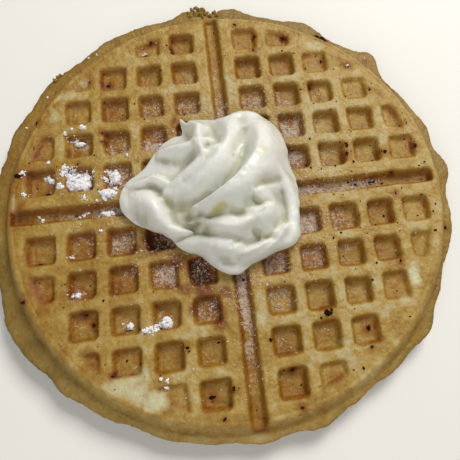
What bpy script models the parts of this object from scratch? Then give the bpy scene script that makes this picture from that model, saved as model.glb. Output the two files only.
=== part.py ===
"""A round waffle with a dollop of whipped cream, in metres, +Z up, lying on its underside.

The batter is cast between two alike iron plates. Each plate has rows of tapered studs, which
leave the pockets, and two crossing ribs, which leave the grooves that part the waffle into
quarters. X and Y run along the grooves. Where the plates meet, batter has run out and baked
as a thin ragged flange.
"""

import math
import random

import bmesh
import bpy
import numpy as np
from mathutils import Matrix, Vector

MM = 0.001

# The ragged edge reaches further on one side, so the plates' centre, where the grooves cross,
# lies a little off the middle of the whole outline, which is the origin
PLATE_CENTRE = (0.9 * MM, -1.7 * MM, 0.0)

# Waffle body
THICKNESS = 13.5 * MM
RIM_TOP_RADIUS = 85.4 * MM
RIM_SHOULDER_RADIUS = 86.8 * MM
RIM_SHOULDER_DROP = 1.0 * MM
RIM_FOOT_RADIUS = 88.2 * MM
RIM_FOOT_DROP = 4.3 * MM
FLANGE_ROOT_RADIUS = 89.3 * MM
FLANGE_ROOT_DROP = 5.1 * MM
FLANGE_EDGE_DROP = 5.7 * MM
FLANGE_EDGE_THICKNESS = 1.9 * MM
TURNED_STEPS = 120

# Ragged edge of the flange: a mean radius, a sideways run-out of the batter, and single tongues
EDGE_RADIUS = 92.7 * MM
EDGE_RUN_OUT = 2.2 * MM
EDGE_RUN_OUT_ANGLE = 165
EDGE_NIBBLE = 0.35 * MM
EDGE_TONGUES = (  # angle and half width in degrees, reach in millimetres
    (1.5, 5.5, 3.8),
    (15, 6, 2.0),
    (41.5, 4.2, 5.0),
    (63, 6.5, 2.6),
    (84, 5, 3.0),
    (96, 3, 3.0),
    (138, 3, 1.3),
    (205, 5, 2.8),
    (215, 9, 0.7),
    (224, 4, 1.3),
    (245, 9, -1.2),
    (285, 4, 1.5),
    (318.5, 6, 3.2),
    (347, 5, 1.3),
)

# Pockets: rows of studs at one pitch from the grooves outwards, inside a round bore
PITCH = 15.0 * MM
FIRST_ROW = 0.926 * PITCH
ROWS = 5
MOUTH_HALF = 0.408 * PITCH
FLOOR_HALF = 0.272 * PITCH
POCKET_DEPTH = 4.1 * MM
POCKET_CORNER = 1.0 * MM
BORE_RADIUS = 82.2 * MM
BORE_TAPER = 0.45
LEAST_POCKET_REACH = 3.0 * MM
CUT_CLEARANCE = 1.0 * MM

# Crossing grooves between the quarters
GROOVE_MOUTH_HALF = 3.7 * MM
GROOVE_FLOOR_HALF = 1.5 * MM
GROOVE_DEPTH = 4.1 * MM
GROOVE_REACH = 84.0 * MM
GROOVE_END_SLOPE = 1.6 * MM

# Pockets of the upper face that the batter filled badly: side of X, side of Y, column, row,
# then the share of the full depth that is left. A share of 0 is a pocket that is missing.
SHALLOW_POCKETS = {
    (-1, 1, 2, 5): 0.6,
    (-1, 1, 3, 4): 0.8,
    (-1, 1, 3, 5): 0.2,
    (-1, 1, 4, 3): 0.75,
    (-1, 1, 4, 4): 0.35,
    (-1, 1, 5, 2): 0.6,
    (-1, 1, 5, 3): 0.1,
    (1, 1, 1, 5): 0.6,
    (1, 1, 2, 5): 0.5,
    (1, 1, 3, 3): 0.75,
    (1, 1, 3, 4): 0.5,
    (1, 1, 3, 5): 0,
    (1, 1, 4, 2): 0.75,
    (1, 1, 4, 3): 0.45,
    (1, 1, 4, 4): 0.25,
    (1, 1, 5, 1): 0.6,
    (1, 1, 5, 2): 0.5,
    (1, 1, 5, 3): 0.35,
    (1, -1, 2, 5): 0.55,
    (1, -1, 3, 4): 0.8,
    (1, -1, 3, 5): 0,
    (1, -1, 4, 3): 0.6,
    (1, -1, 4, 4): 0.25,
    (1, -1, 5, 1): 0.75,
    (1, -1, 5, 2): 0.5,
    (1, -1, 5, 3): 0.1,
    (-1, -1, 2, 5): 0.55,
    (-1, -1, 3, 4): 0.8,
    (-1, -1, 3, 5): 0,
    (-1, -1, 4, 4): 0.6,
    (-1, -1, 5, 2): 0.6,
    (-1, -1, 5, 3): 0.1,
}

# Clumps of sugar, and last the three knobs of batter that boiled over at the rim: place, half
# lengths along X and Y, height of the middle below the ridges and half height, in millimetres
SUGAR_CLUMPS = (
    (-61.5, 12.8, 4.2, 4.4, -3.0, 2.3),
    (-57.4, 12.6, 3.0, 4.0, -2.9, 2.0),
    (-66.4, 11.4, 1.8, 1.6, -0.6, 1.3),
    (-45.6, 14.0, 2.4, 3.4, -3.1, 1.7),
    (-47.4, 6.4, 4.0, 2.2, -0.6, 1.8),
    (-34.9, -48.6, 2.9, 2.8, -2.6, 2.0),
    (-29.6, -46.6, 2.6, 2.8, -3.0, 2.1),
    (-57.0, 36.6, 1.8, 1.2, -0.4, 1.1),
    (-59.0, 30.8, 2.6, 1.2, -3.6, 1.3),
    (-70.2, 15.4, 1.9, 1.2, -3.3, 1.2),
    (-49.0, -1.4, 3.4, 1.4, -3.4, 1.3),
    (-42.6, -45.8, 1.2, 1.7, -3.6, 1.2),
    (-61.2, -32.2, 1.3, 1.5, -3.5, 1.3),
    (-4.2, 93.6, 4.4, 3.4, -5.6, 1.9),
    (-4.6, 96.6, 2.3, 2.2, -5.4, 1.8),
    (4.0, 92.4, 2.4, 2.2, -5.6, 1.5),
)

# Whipped cream: the outline about its middle by angle and radius, a thin spike on it, the folds
# that lie on a low dome, and the hollows between them, all in millimetres and degrees
CREAM_GAP = 0.3 * MM
CREAM_CENTRE = (-5.0, -1.0)
CREAM_OUTLINE = (
    (0, 31.8), (20, 31.8), (40, 37.4), (60, 40), (70, 39), (79, 35), (88, 34), (97, 35),
    (104, 35.4), (112, 31), (124, 32), (140, 31.5), (152, 31.8), (165, 36.6), (178, 38.4),
    (190, 34.6), (204, 28),
    (216, 25), (230, 25.4), (248, 24.8), (260, 28), (274, 31.8), (290, 30.2), (306, 31.2),
    (322, 35.6), (334, 33.4), (346, 32),
)
CREAM_SPIKE = (109, 1.9, 5.4)  # its angle, half width in degrees and reach
CREAM_DOME_HEIGHT = 6.0
CREAM_RIM_HEIGHT = 2.0
CREAM_UNDERCUT = 0.07
CREAM_FOLD_SHARPNESS = 5.5
CREAM_FOLD_FALL = 1.15
CREAM_FOLDS = {  # how flat the left and the right side are; then place, height, and half
    # width to the left and to the right of the way along the fold
    "sweep": (2.6, 1.6, (
        (11, 29.5, 10, 8, 9), (13, 19.5, 17, 12, 9), (11, 9, 22, 13, 7.5),
        (6, 1.5, 24, 13, 6), (-0.5, -4, 24, 11, 5), (-7, -6.5, 20, 8, 4),
        (-13, -7, 13, 4.5, 3))),
    "upper": (2, 1.9, (
        (1.5, 30, 10, 12, 6), (1.5, 19, 15.5, 12, 6), (-3, 9.5, 19, 11, 6), (-9, 4, 18, 9, 6),
        (-16, 0.5, 13.5, 7, 5), (-23, -1, 9, 5, 4))),
    "second": (2.2, 2, (
        (-5.5, 13, 17, 8, 6), (-11.5, 8, 16, 8, 6), (-18, 4.5, 13, 7, 5),
        (-24.5, 1, 9, 4.5, 3.5))),
    "spur": (1.7, 1.7, (
        (-7, 19.5, 13, 5.5, 5), (-14.5, 18.5, 12.5, 6, 5), (-21, 19, 10.5, 5, 4),
        (-26, 19.5, 8.5, 2.5, 2))),
    "stub": (1.7, 1.7, ((-10, 26.5, 10, 5, 6), (-10, 19.5, 13, 4, 6), (-9, 12.5, 16, 4, 5))),
    "spike": (1.7, 1.7, (
        (-9.5, 27, 11, 5, 4), (-12.5, 31, 9.5, 3, 2.2), (-15.2, 33.8, 8.5, 1.8, 1.2),
        (-17.7, 35.8, 8, 0.9, 0.9))),
    "brim": (2, 2, ((1, 30.5, 8.5, 5, 5), (8, 32, 8.5, 5, 5), (13, 31, 9, 5, 5))),
    "lip": (1.7, 1.7, (
        (-39.5, 7.5, 4, 1.5, 1.5), (-34, 7, 7.5, 2.5, 2.5), (-29, 7.5, 9.5, 3.5, 3),
        (-24, 4, 10, 4, 3.5))),
    "ball": (2.3, 2.3, (
        (-39.5, -1, 6, 6, 5), (-34.5, -1, 9.5, 7, 6), (-30, -4, 11.5, 7, 6),
        (-28, -9.5, 11.5, 6, 5), (-25, -13, 10, 4.5, 4), (-21, -14.5, 8.5, 3, 2.5),
        (-16.5, -15.5, 7, 1.2, 1.2))),
    "front": (2.4, 1.7, (
        (-11.5, -14, 12, 7, 4.5), (-5, -16.5, 16, 9, 6), (1.5, -17.5, 17, 9, 6.5),
        (7.5, -14.5, 17, 8, 6.5))),
    "right": (2.4, 2, ((9.5, -6, 17.5, 7, 5), (11.5, -12, 17, 7, 5), (10, -17, 14, 6, 5))),
    "apron": (1.7, 1.7, (
        (19.5, 4, 12, 4, 8), (22.5, -1.5, 11, 4, 8), (24, -7.5, 9, 4, 7), (23.5, -16, 8, 4, 7),
        (20.5, -22.5, 8, 4, 7), (13, -25.5, 7.5, 4, 6), (6, -29, 6.5, 4, 5))),
    "band": (2, 1.7, (
        (18, -18, 11, 4, 4), (11, -24, 12, 4, 5), (4, -26, 11.5, 4, 5), (-1.5, -27, 9, 4, 4))),
    "left": (2, 2, (
        (-22.5, -20.5, 6, 4, 5), (-15, -20.5, 10.5, 6, 6), (-8, -22.5, 13, 7, 7),
        (-1.5, -24, 13, 7, 7))),
    "foot": (2.2, 2, (
        (-11.5, -27, 5, 4, 4), (-7, -30.5, 6.5, 6, 5), (-1, -32, 6.5, 6, 5), (1, -34, 4, 3, 3))),
}
CREAM_HOLLOWS = (  # along each hollow: place, depth and half width
    ((-7.5, 22, 0.6, 1.3), (-7, 18, 1.4, 1.6), (-7, 14, 1, 1.5)),
    ((-8.8, -12, 1.4, 1.2), (-6.2, -10.8, 2.2, 1.6), (-3, -10.2, 1.8, 1.5), (0, -10.4, 0.8, 1.3)),
    ((0, -12, 1, 1.5), (2, -13.2, 1.6, 1.8), (5, -13.8, 1, 1.5)),
    ((8.5, -5.5, 2, 1.1), (12, -3, 3, 1.3), (18.5, 0, 1.5, 1.1)),
    ((8, -8.5, 2, 1.1), (10.5, -10, 2.5, 1.3), (14, -9, 1.5, 1.1)),
    ((6.5, -19, 2.2, 1.3), (10, -20, 3.2, 1.7), (13.5, -21.5, 1.8, 1.3)),
    ((4.5, -18.5, 1, 0.8), (1, -21.5, 1.2, 0.9), (-2.5, -24, 0.8, 0.8)),
    ((19.5, -4, 1.2, 0.9), (20, -10.5, 1.6, 1), (18, -16.5, 1.6, 1), (12.5, -23, 1.8, 1),
     (6, -26.5, 1.6, 1), (0, -28, 1.6, 1)),
    ((-9.5, -24.5, 1.4, 1.2), (-6.5, -27, 2, 1.3), (-2.5, -29, 1.6, 1.1)),
    ((7.5, 22.5, 1.5, 1.4), (4, 16, 2.4, 1.6), (2, 10, 1.5, 1.2)),
)
CREAM_TOP_SHARE = 0.8
CURVE_STEPS = 8
CREAM_AROUND = 96
CREAM_RINGS = 30

CRUST_COLOUR = (0.43, 0.26, 0.075, 1.0)
CREAM_COLOUR = (0.71, 0.71, 0.64, 1.0)


def clear_scene():
    for obj in list(bpy.data.objects):
        bpy.data.objects.remove(obj, do_unlink=True)


def new_collection(name):
    collection = bpy.data.collections.new(name)
    bpy.context.scene.collection.children.link(collection)
    return collection


def material(name, colour, roughness):
    made = bpy.data.materials.new(name)
    made.use_nodes = True
    shader = made.node_tree.nodes["Principled BSDF"]
    shader.inputs["Base Color"].default_value = colour
    shader.inputs["Roughness"].default_value = roughness
    shader.inputs["Metallic"].default_value = 0.0
    return made


def object_from(bm, name, collection):
    """Turns the bmesh into an object with its faces pointing out."""
    bmesh.ops.recalc_face_normals(bm, faces=bm.faces)
    mesh = bpy.data.meshes.new(name)
    bm.to_mesh(mesh)
    bm.free()
    obj = bpy.data.objects.new(name, mesh)
    collection.objects.link(obj)
    return obj


def as_cutter(obj):
    obj.hide_render = True
    obj.display_type = "WIRE"
    return obj


def apply_modifiers(obj):
    """Makes the evaluated mesh the object's own."""
    bpy.context.view_layer.update()
    graph = bpy.context.evaluated_depsgraph_get()
    mesh = bpy.data.meshes.new_from_object(obj.evaluated_get(graph))
    obj.modifiers.clear()
    obj.data = mesh


def bump(angle, centre, half_width):
    """A smooth bell over the angle in degrees, 1 at its centre."""
    away = (angle - centre + 180) % 360 - 180
    return math.exp(-((away / half_width) ** 2))


def edge_radius(angle):
    """Radius of the flange's ragged edge at an angle in degrees."""
    radius = EDGE_RADIUS + EDGE_RUN_OUT * math.cos(math.radians(angle - EDGE_RUN_OUT_ANGLE))
    for centre, half_width, reach in EDGE_TONGUES:
        radius += reach * MM * bump(angle, centre, half_width)
    for waves in (11, 19, 31):
        radius += EDGE_NIBBLE * math.sin(math.radians(waves * angle) + waves)
    return radius


def rim_profile():
    """The rim's outer side from the upper face down to the lower one, as radius and height."""
    upper = [
        (RIM_TOP_RADIUS, 0.0),
        (RIM_SHOULDER_RADIUS, RIM_SHOULDER_DROP),
        (RIM_FOOT_RADIUS, RIM_FOOT_DROP),
        (FLANGE_ROOT_RADIUS, FLANGE_ROOT_DROP),
        (EDGE_RADIUS, FLANGE_EDGE_DROP),
    ]
    points = [(radius, THICKNESS - drop) for radius, drop in upper]
    points.append((EDGE_RADIUS, THICKNESS - FLANGE_EDGE_DROP - FLANGE_EDGE_THICKNESS))
    points += [(radius, drop) for radius, drop in reversed(upper[:-1])]
    return points


def make_blank(collection):
    """The waffle before its pockets: the rim's profile turned about Z, capped flat, its edge ragged."""
    profile = bmesh.new()
    corners = [profile.verts.new((radius, 0.0, height)) for radius, height in rim_profile()]
    for start, end in zip(corners, corners[1:]):
        profile.edges.new((start, end))
    mesh = bpy.data.meshes.new("waffle")
    profile.to_mesh(mesh)
    profile.free()
    blank = bpy.data.objects.new("waffle", mesh)
    collection.objects.link(blank)
    turn = blank.modifiers.new("turned rim", "SCREW")
    turn.axis = "Z"
    turn.steps = TURNED_STEPS
    turn.render_steps = TURNED_STEPS
    turn.use_merge_vertices = True
    turn.merge_threshold = 0.01 * MM
    apply_modifiers(blank)
    bm = bmesh.new()
    bm.from_mesh(blank.data)
    bmesh.ops.holes_fill(bm, edges=[edge for edge in bm.edges if edge.is_boundary], sides=0)
    bmesh.ops.recalc_face_normals(bm, faces=bm.faces)
    for vertex in bm.verts:
        radius = math.hypot(vertex.co.x, vertex.co.y)
        if radius > (FLANGE_ROOT_RADIUS + EDGE_RADIUS) / 2:
            ragged = edge_radius(math.degrees(math.atan2(vertex.co.y, vertex.co.x)))
            vertex.co.x *= ragged / radius
            vertex.co.y *= ragged / radius
    bm.to_mesh(blank.data)
    bm.free()
    return blank


def add_tapered_block(bm, centre, mouth, floor, depth, corner):
    """A stud that points down from the upper face: a box with a smaller floor than mouth.

    mouth and floor are half lengths along X and Y. It also stands CUT_CLEARANCE above the
    face, on the same slope, and all its edges but the mouth's are bevelled by corner.
    """
    stretch = CUT_CLEARANCE / depth
    top = [at_face + (at_face - at_floor) * stretch for at_face, at_floor in zip(mouth, floor)]
    verts = bmesh.ops.create_cube(bm, size=2.0)["verts"]
    for vertex in verts:
        is_top = vertex.co.z > 0
        half = top if is_top else floor
        height = THICKNESS + CUT_CLEARANCE if is_top else THICKNESS - depth
        vertex.co = (
            centre[0] + vertex.co.x * half[0],
            centre[1] + vertex.co.y * half[1],
            height,
        )
    if corner:
        edges = {edge for vertex in verts for edge in vertex.link_edges}
        soft = [edge for edge in edges if min(v.co.z for v in edge.verts) < THICKNESS]
        bmesh.ops.bevel(bm, geom=soft, offset=corner, segments=1, affect="EDGES")


def pocket_places():
    """Side of X, side of Y, column, row and centre of each pocket that reaches inside the bore."""
    for side_x in (-1, 1):
        for side_y in (-1, 1):
            for column in range(1, ROWS + 1):
                for row in range(1, ROWS + 1):
                    across = FIRST_ROW + (column - 1) * PITCH
                    along = FIRST_ROW + (row - 1) * PITCH
                    inner = math.hypot(across - MOUTH_HALF, along - MOUTH_HALF)
                    if inner < BORE_RADIUS - LEAST_POCKET_REACH:
                        yield (side_x, side_y, column, row), (side_x * across, side_y * along)


def make_studs(name, collection, corner, shares):
    """All studs of a plate as one mesh. shares gives the depth left in badly filled pockets."""
    draw = random.Random(41)
    bm = bmesh.new()
    for key, (x, y) in pocket_places():
        share = shares.get(key, 1.0)
        size = draw.uniform(0.97, 1.03)
        depth = POCKET_DEPTH * share * draw.uniform(0.94, 1.04)
        centre = (x + draw.uniform(-0.2, 0.2) * MM, y + draw.uniform(-0.2, 0.2) * MM)
        if share == 0:
            continue
        mouth = MOUTH_HALF * size
        floor = mouth - (MOUTH_HALF - FLOOR_HALF) * max(share, 0.6)
        bevel = corner * min(1.0, share + 0.2)
        add_tapered_block(bm, centre, (mouth, mouth), (floor, floor), depth, bevel)
    return as_cutter(object_from(bm, name, collection))


def limit_to_bore(studs, collection):
    """Cuts the outermost studs to the plate's round, slightly tapered bore."""
    low = THICKNESS - 2 * POCKET_DEPTH
    high = THICKNESS + 2 * CUT_CLEARANCE
    bm = bmesh.new()
    bmesh.ops.create_cone(
        bm,
        cap_ends=True,
        segments=96,
        radius1=BORE_RADIUS - BORE_TAPER * (THICKNESS - low),
        radius2=BORE_RADIUS + BORE_TAPER * (high - THICKNESS),
        depth=high - low,
        matrix=Matrix.Translation((0, 0, (low + high) / 2)),
    )
    bore = object_from(bm, studs.name + "_bore", collection)
    trim = studs.modifiers.new("bore", "BOOLEAN")
    trim.operation = "INTERSECT"
    trim.object = bore
    apply_modifiers(studs)
    bpy.data.objects.remove(bore, do_unlink=True)


def make_ribs(name, collection, corner):
    """The two crossing ribs of a plate, which leave the grooves."""
    made = []
    for label, reach in (("_x", (1, 0)), ("_y", (0, 1))):
        bm = bmesh.new()
        mouth = [GROOVE_REACH if along else GROOVE_MOUTH_HALF for along in reach]
        floor = [
            GROOVE_REACH - GROOVE_END_SLOPE if along else GROOVE_FLOOR_HALF for along in reach
        ]
        add_tapered_block(bm, (0, 0), mouth, floor, GROOVE_DEPTH, corner)
        made.append(as_cutter(object_from(bm, name + label, collection)))
    return made


def turn_over(obj):
    """Puts a cutter of the upper face on the lower one."""
    obj.matrix_world = Matrix.Translation((0, 0, THICKNESS)) @ Matrix.Rotation(math.pi, 4, "X")


def cut_faces(waffle, collection):
    """Takes the studs and ribs of both plates out of the blank."""
    upper = make_studs("upper_studs", collection, POCKET_CORNER, SHALLOW_POCKETS)
    lower = make_studs("lower_studs", collection, 0, {})
    ribs = make_ribs("upper_rib", collection, POCKET_CORNER / 2)
    lower_ribs = make_ribs("lower_rib", collection, 0)
    limit_to_bore(upper, collection)
    limit_to_bore(lower, collection)
    for obj in (lower, *lower_ribs):
        turn_over(obj)
    for cutter in (upper, lower, *ribs, *lower_ribs):
        cut = waffle.modifiers.new(cutter.name, "BOOLEAN")
        cut.operation = "DIFFERENCE"
        cut.object = cutter
    apply_modifiers(waffle)


def add_sugar(waffle):
    """Fuses the lumps of sugar to the waffle."""
    lumps = new_collection("sugar_lumps")
    draw = random.Random(5)
    for number, (x, y, half_x, half_y, level, half_z) in enumerate(SUGAR_CLUMPS):
        bm = bmesh.new()
        fine = 2 if max(half_x, half_y) > 2.5 else 1
        bmesh.ops.create_icosphere(bm, subdivisions=fine, radius=MM)
        for vertex in bm.verts:
            knobbly = draw.uniform(0.86, 1.12)
            vertex.co.x *= half_x * knobbly
            vertex.co.y *= half_y * knobbly
            vertex.co.z *= half_z * knobbly
            vertex.co += Vector((x * MM, y * MM, THICKNESS + level * MM))
        object_from(bm, f"sugar_lump_{number}", lumps)
    fuse = waffle.modifiers.new("sugar", "BOOLEAN")
    fuse.operation = "UNION"
    fuse.operand_type = "COLLECTION"
    fuse.collection = lumps
    fuse.solver = "EXACT"
    apply_modifiers(waffle)
    for lump in list(lumps.objects):
        bpy.data.objects.remove(lump, do_unlink=True)
    bpy.data.collections.remove(lumps)


def curve(points, steps):
    """A smooth curve through points of any number of values, with that many steps between."""
    given = np.array(points, float)
    row = np.concatenate([2 * given[:1] - given[1:2], given, 2 * given[-1:] - given[-2:-1]])
    before, start, end, beyond = (row[n : n + len(given) - 1, None] for n in range(4))
    t = np.linspace(0, 1, steps, endpoint=False)[:, None]
    made = 2 * start + (end - before) * t + (2 * before - 5 * start + 4 * end - beyond) * t**2
    made = (made + (3 * start - before - 3 * end + beyond) * t**3) / 2
    return np.concatenate([made.reshape(-1, given.shape[1]), given[-1:]])


def cream_outline(angle):
    """Radius of the cream's outline about its centre: a smooth closed curve, and the spike."""
    row = np.array(CREAM_OUTLINE, float)
    row = np.concatenate([row[-3:] - (360, 0), row, row[:3] + (360, 0)])
    dense = curve(row, CURVE_STEPS)
    centre, half_width, reach = CREAM_SPIKE
    spike = np.array([reach * bump(each, centre, half_width) for each in angle])
    return np.interp(angle % 360, dense[:, 0], dense[:, 1]) + spike


def nearest_on(x, y, line):
    """For each place, the values of the nearest point of a bent line, whether it lies to the
    left of the way along it, and how far off it is. The line is taken piece by piece."""
    values = np.zeros((line.shape[1],) + np.shape(x))
    left = np.zeros(np.shape(x), bool)
    nearest = np.full(np.shape(x), np.inf)
    for start, end in zip(line, line[1:]):
        run_x, run_y = end[:2] - start[:2]
        share = ((x - start[0]) * run_x + (y - start[1]) * run_y) / (run_x**2 + run_y**2)
        share = np.clip(share, 0, 1)
        here = np.stack([a + (b - a) * share for a, b in zip(start, end)])
        off = np.hypot(x - here[0], y - here[1])
        closer = off < nearest
        nearest = np.where(closer, off, nearest)
        values = np.where(closer, here, values)
        left = np.where(closer, run_x * (y - here[1]) > run_y * (x - here[0]), left)
    return values, left, nearest


def fold_height(x, y, fold):
    """A fold falls to each side of its crest by exp(-fall * (distance / half width) ^ flatness)."""
    flat_left, flat_right, points = fold
    line = curve(points, CURVE_STEPS)
    (_, _, height, width_left, width_right), left, off = nearest_on(x, y, line)
    off = off / np.where(left, width_left, width_right)
    return height * np.exp(-CREAM_FOLD_FALL * off ** np.where(left, flat_left, flat_right))


def hollow_depth(x, y, hollow):
    """A groove along a bent line, a bell in its cross-section."""
    (_, _, depth, width), _, off = nearest_on(x, y, curve(hollow, CURVE_STEPS))
    return depth * np.exp(-((off / width) ** 2))


def cream_height(x, y, share):
    """Height of the cream over places at a share of the way from its centre to its outline.

    The folds and a low dome are added by a high power, so that they run into each other with
    a crease. The hollows are taken off, and the rest comes down round at the outline.
    """
    dome = CREAM_DOME_HEIGHT * np.sqrt(np.clip(1 - share**2, 0, 1))
    power = CREAM_FOLD_SHARPNESS
    total = dome**power
    for fold in CREAM_FOLDS.values():
        total = total + fold_height(x, y, fold) ** power
    total = total ** (1 / power)
    for hollow in CREAM_HOLLOWS:
        total = total - hollow_depth(x, y, hollow)
    total = np.maximum(total, CREAM_RIM_HEIGHT)
    rounding = np.sqrt(np.clip(1 - share**6, 0, 1))
    return CREAM_RIM_HEIGHT + (total - CREAM_RIM_HEIGHT) * rounding


def cream_points(ball):
    """Moves the points of a unit ball to the cream's surface.

    The upper part of the way from pole to pole, CREAM_TOP_SHARE of it, spreads over the top.
    The rest is the undercut rim and the flat underside.
    """
    angle = np.degrees(np.arctan2(ball[:, 1], ball[:, 0]))
    way = np.arccos(np.clip(ball[:, 2], -1, 1)) / math.pi
    on_top = way < CREAM_TOP_SHARE + 0.5 / CREAM_RINGS
    over = np.sin(np.minimum(way / CREAM_TOP_SHARE, 1) * math.pi / 2)
    under = (1 - way) / (1 - CREAM_TOP_SHARE) * (1 - CREAM_UNDERCUT)
    share = np.where(on_top, over, under)
    radius = cream_outline(angle) * share
    x = CREAM_CENTRE[0] + radius * np.cos(np.radians(angle))
    y = CREAM_CENTRE[1] + radius * np.sin(np.radians(angle))
    height = np.where(on_top, cream_height(x, y, share), 0.0)
    return np.stack([x * MM, y * MM, THICKNESS + CREAM_GAP + height * MM], -1)


def make_cream(collection):
    """The dollop: a ball whose points are moved to the folded surface over its flat underside."""
    bm = bmesh.new()
    bmesh.ops.create_uvsphere(
        bm, u_segments=CREAM_AROUND, v_segments=CREAM_RINGS, radius=1.0
    )
    mesh = bpy.data.meshes.new("whipped_cream")
    bm.to_mesh(mesh)
    bm.free()
    ball = np.empty(len(mesh.vertices) * 3)
    mesh.vertices.foreach_get("co", ball)
    mesh.vertices.foreach_set("co", cream_points(ball.reshape(-1, 3)).ravel())
    mesh.update()
    cream = bpy.data.objects.new("whipped_cream", mesh)
    collection.objects.link(cream)
    return cream


def hang_on_plate_centre(objects):
    """Parents everything to one empty that stands where the grooves cross."""
    middle = bpy.data.objects.new("plate_centre", None)
    bpy.context.scene.collection.objects.link(middle)
    for obj in objects:
        obj.parent = middle
    middle.location = PLATE_CENTRE


def main():
    clear_scene()
    parts = new_collection("waffle_with_cream")
    cutters = new_collection("cutters")
    waffle = make_blank(parts)
    cut_faces(waffle, cutters)
    add_sugar(waffle)
    cream = make_cream(parts)
    waffle.data.materials.clear()
    waffle.data.materials.append(material("baked_batter", CRUST_COLOUR, 0.6))
    cream.data.materials.append(material("whipped_cream", CREAM_COLOUR, 0.35))
    cream.data.shade_smooth()
    hang_on_plate_centre([*parts.objects, *cutters.objects])


main()
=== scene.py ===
import math
from itertools import product

import bpy
import numpy as np
from mathutils import Matrix, Vector


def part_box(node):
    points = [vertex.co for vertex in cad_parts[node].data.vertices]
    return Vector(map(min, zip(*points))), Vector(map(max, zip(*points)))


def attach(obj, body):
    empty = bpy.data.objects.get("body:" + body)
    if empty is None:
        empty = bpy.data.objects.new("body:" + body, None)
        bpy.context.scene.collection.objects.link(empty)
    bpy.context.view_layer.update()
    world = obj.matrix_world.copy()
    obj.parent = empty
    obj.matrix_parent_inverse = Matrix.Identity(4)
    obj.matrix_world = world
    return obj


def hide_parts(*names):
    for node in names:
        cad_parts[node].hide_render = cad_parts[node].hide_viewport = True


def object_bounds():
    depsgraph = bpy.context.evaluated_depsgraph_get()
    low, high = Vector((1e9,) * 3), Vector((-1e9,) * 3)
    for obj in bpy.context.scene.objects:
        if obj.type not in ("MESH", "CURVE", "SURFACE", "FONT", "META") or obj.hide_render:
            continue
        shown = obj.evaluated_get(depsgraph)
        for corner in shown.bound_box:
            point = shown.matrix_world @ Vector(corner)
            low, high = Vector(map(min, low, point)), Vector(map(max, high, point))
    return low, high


# A waffle baked between two studded iron plates, with whipped cream and sugar on it. Lengths
# are millimetres in the plate's own axes: the two grooves cross at (0, 0), and the ridges of the
# upper face lie at height 0. place() turns them into the frame's metres.

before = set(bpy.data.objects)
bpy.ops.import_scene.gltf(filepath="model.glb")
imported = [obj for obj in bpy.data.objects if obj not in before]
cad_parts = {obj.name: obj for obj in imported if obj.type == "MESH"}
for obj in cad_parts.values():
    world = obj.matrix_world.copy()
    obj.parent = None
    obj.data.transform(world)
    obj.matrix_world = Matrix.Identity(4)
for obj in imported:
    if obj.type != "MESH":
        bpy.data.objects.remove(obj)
cad_box = [list(corner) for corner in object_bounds()]

MM = 0.001
CREAM_GAP = 0.3
PLATE_CENTRE = (0.9, -1.7)
RIDGE_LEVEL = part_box("whipped_cream")[0].z / MM - CREAM_GAP
THICKNESS = RIDGE_LEVEL

# The camera of the photograph: its eye above the plate's centre, its turns about X, Y and Z in
# degrees, and its lens in pixels of a picture 460 wide, centred on that column
EYE = (-4.12, -65.28, 169.0)
EYE_TURNS = (16.219, -5.254, -6.693)
LENS_PX = 451.4
PICTURE_PX = 460
AXIS_COLUMN = 266.8
SENSOR_MM = 36.0

# Noise: the cells on a side of its lattice, and how far its first cell lies off the middle.
# Where a table below gives noises, each has its strength, the size of its waves and its seed.
LATTICE = 64
LATTICE_SHIFT = (17.3, 5.9)

# Pockets and grooves, as the plates leave them
PITCH = 15.0
ROWS = 5
FIRST_ROW = 0.926 * PITCH
MOUTH_HALF = 0.408 * PITCH
WALL_WIDTH = 2.5
POCKET_DEPTH = 4.1
POCKET_CORNER = 2.4
BORE_RADIUS = 82.2
BORE_WALL = 3.4
GROOVE_MOUTH_HALF = 3.7
GROOVE_WALL = 2.5
GROOVE_DEPTH = 4.1
GROOVE_REACH = (84.3, 88.0, 86.0, 91.0)  # to the right, up, to the left and down
GROOVE_END = (1.7, 1.7, 1.7, 6)
LEAST_POCKET_REACH = 3  # how far a pocket's inner corner lies inside the bore at least
MOUTH_SPREAD = (0.95, 1.02)  # the least and the most share of a pocket's size
DEPTH_SPREAD = (0.94, 1.05)  # and of its depth
SHALLOW_LOOK = 1.3  # a badly filled pocket is baked brown as if it were so many times as deep
STRAY = ((0.28, 7, 0), (0.12, 2.6, 2))  # noises that the pressed lines follow
UPPER_SEED, LOWER_SEED = 11, 31

# Pockets of the upper face that the batter filled badly: side of X, side of Y, column, row,
# then the share of the full depth that is left
SHALLOW_POCKETS = {
    (-1, 1, 2, 5): 0.6,
    (-1, 1, 3, 4): 0.8,
    (-1, 1, 3, 5): 0.2,
    (-1, 1, 4, 3): 0.75,
    (-1, 1, 4, 4): 0.35,
    (-1, 1, 5, 2): 0.6,
    (-1, 1, 5, 3): 0.1,
    (1, 1, 1, 5): 0.6,
    (1, 1, 2, 5): 0.5,
    (1, 1, 3, 3): 0.75,
    (1, 1, 3, 4): 0.5,
    (1, 1, 3, 5): 0,
    (1, 1, 4, 2): 0.75,
    (1, 1, 4, 3): 0.45,
    (1, 1, 4, 4): 0.25,
    (1, 1, 5, 1): 0.6,
    (1, 1, 5, 2): 0.5,
    (1, 1, 5, 3): 0.35,
    (1, -1, 2, 5): 0.55,
    (1, -1, 3, 4): 0.8,
    (1, -1, 3, 5): 0,
    (1, -1, 4, 3): 0.6,
    (1, -1, 4, 4): 0.25,
    (1, -1, 5, 1): 0.75,
    (1, -1, 5, 2): 0.5,
    (1, -1, 5, 3): 0.1,
    (-1, -1, 2, 5): 0.55,
    (-1, -1, 3, 4): 0.8,
    (-1, -1, 3, 5): 0,
    (-1, -1, 4, 4): 0.6,
    (-1, -1, 5, 2): 0.6,
    (-1, -1, 5, 3): 0.1,
}

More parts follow.
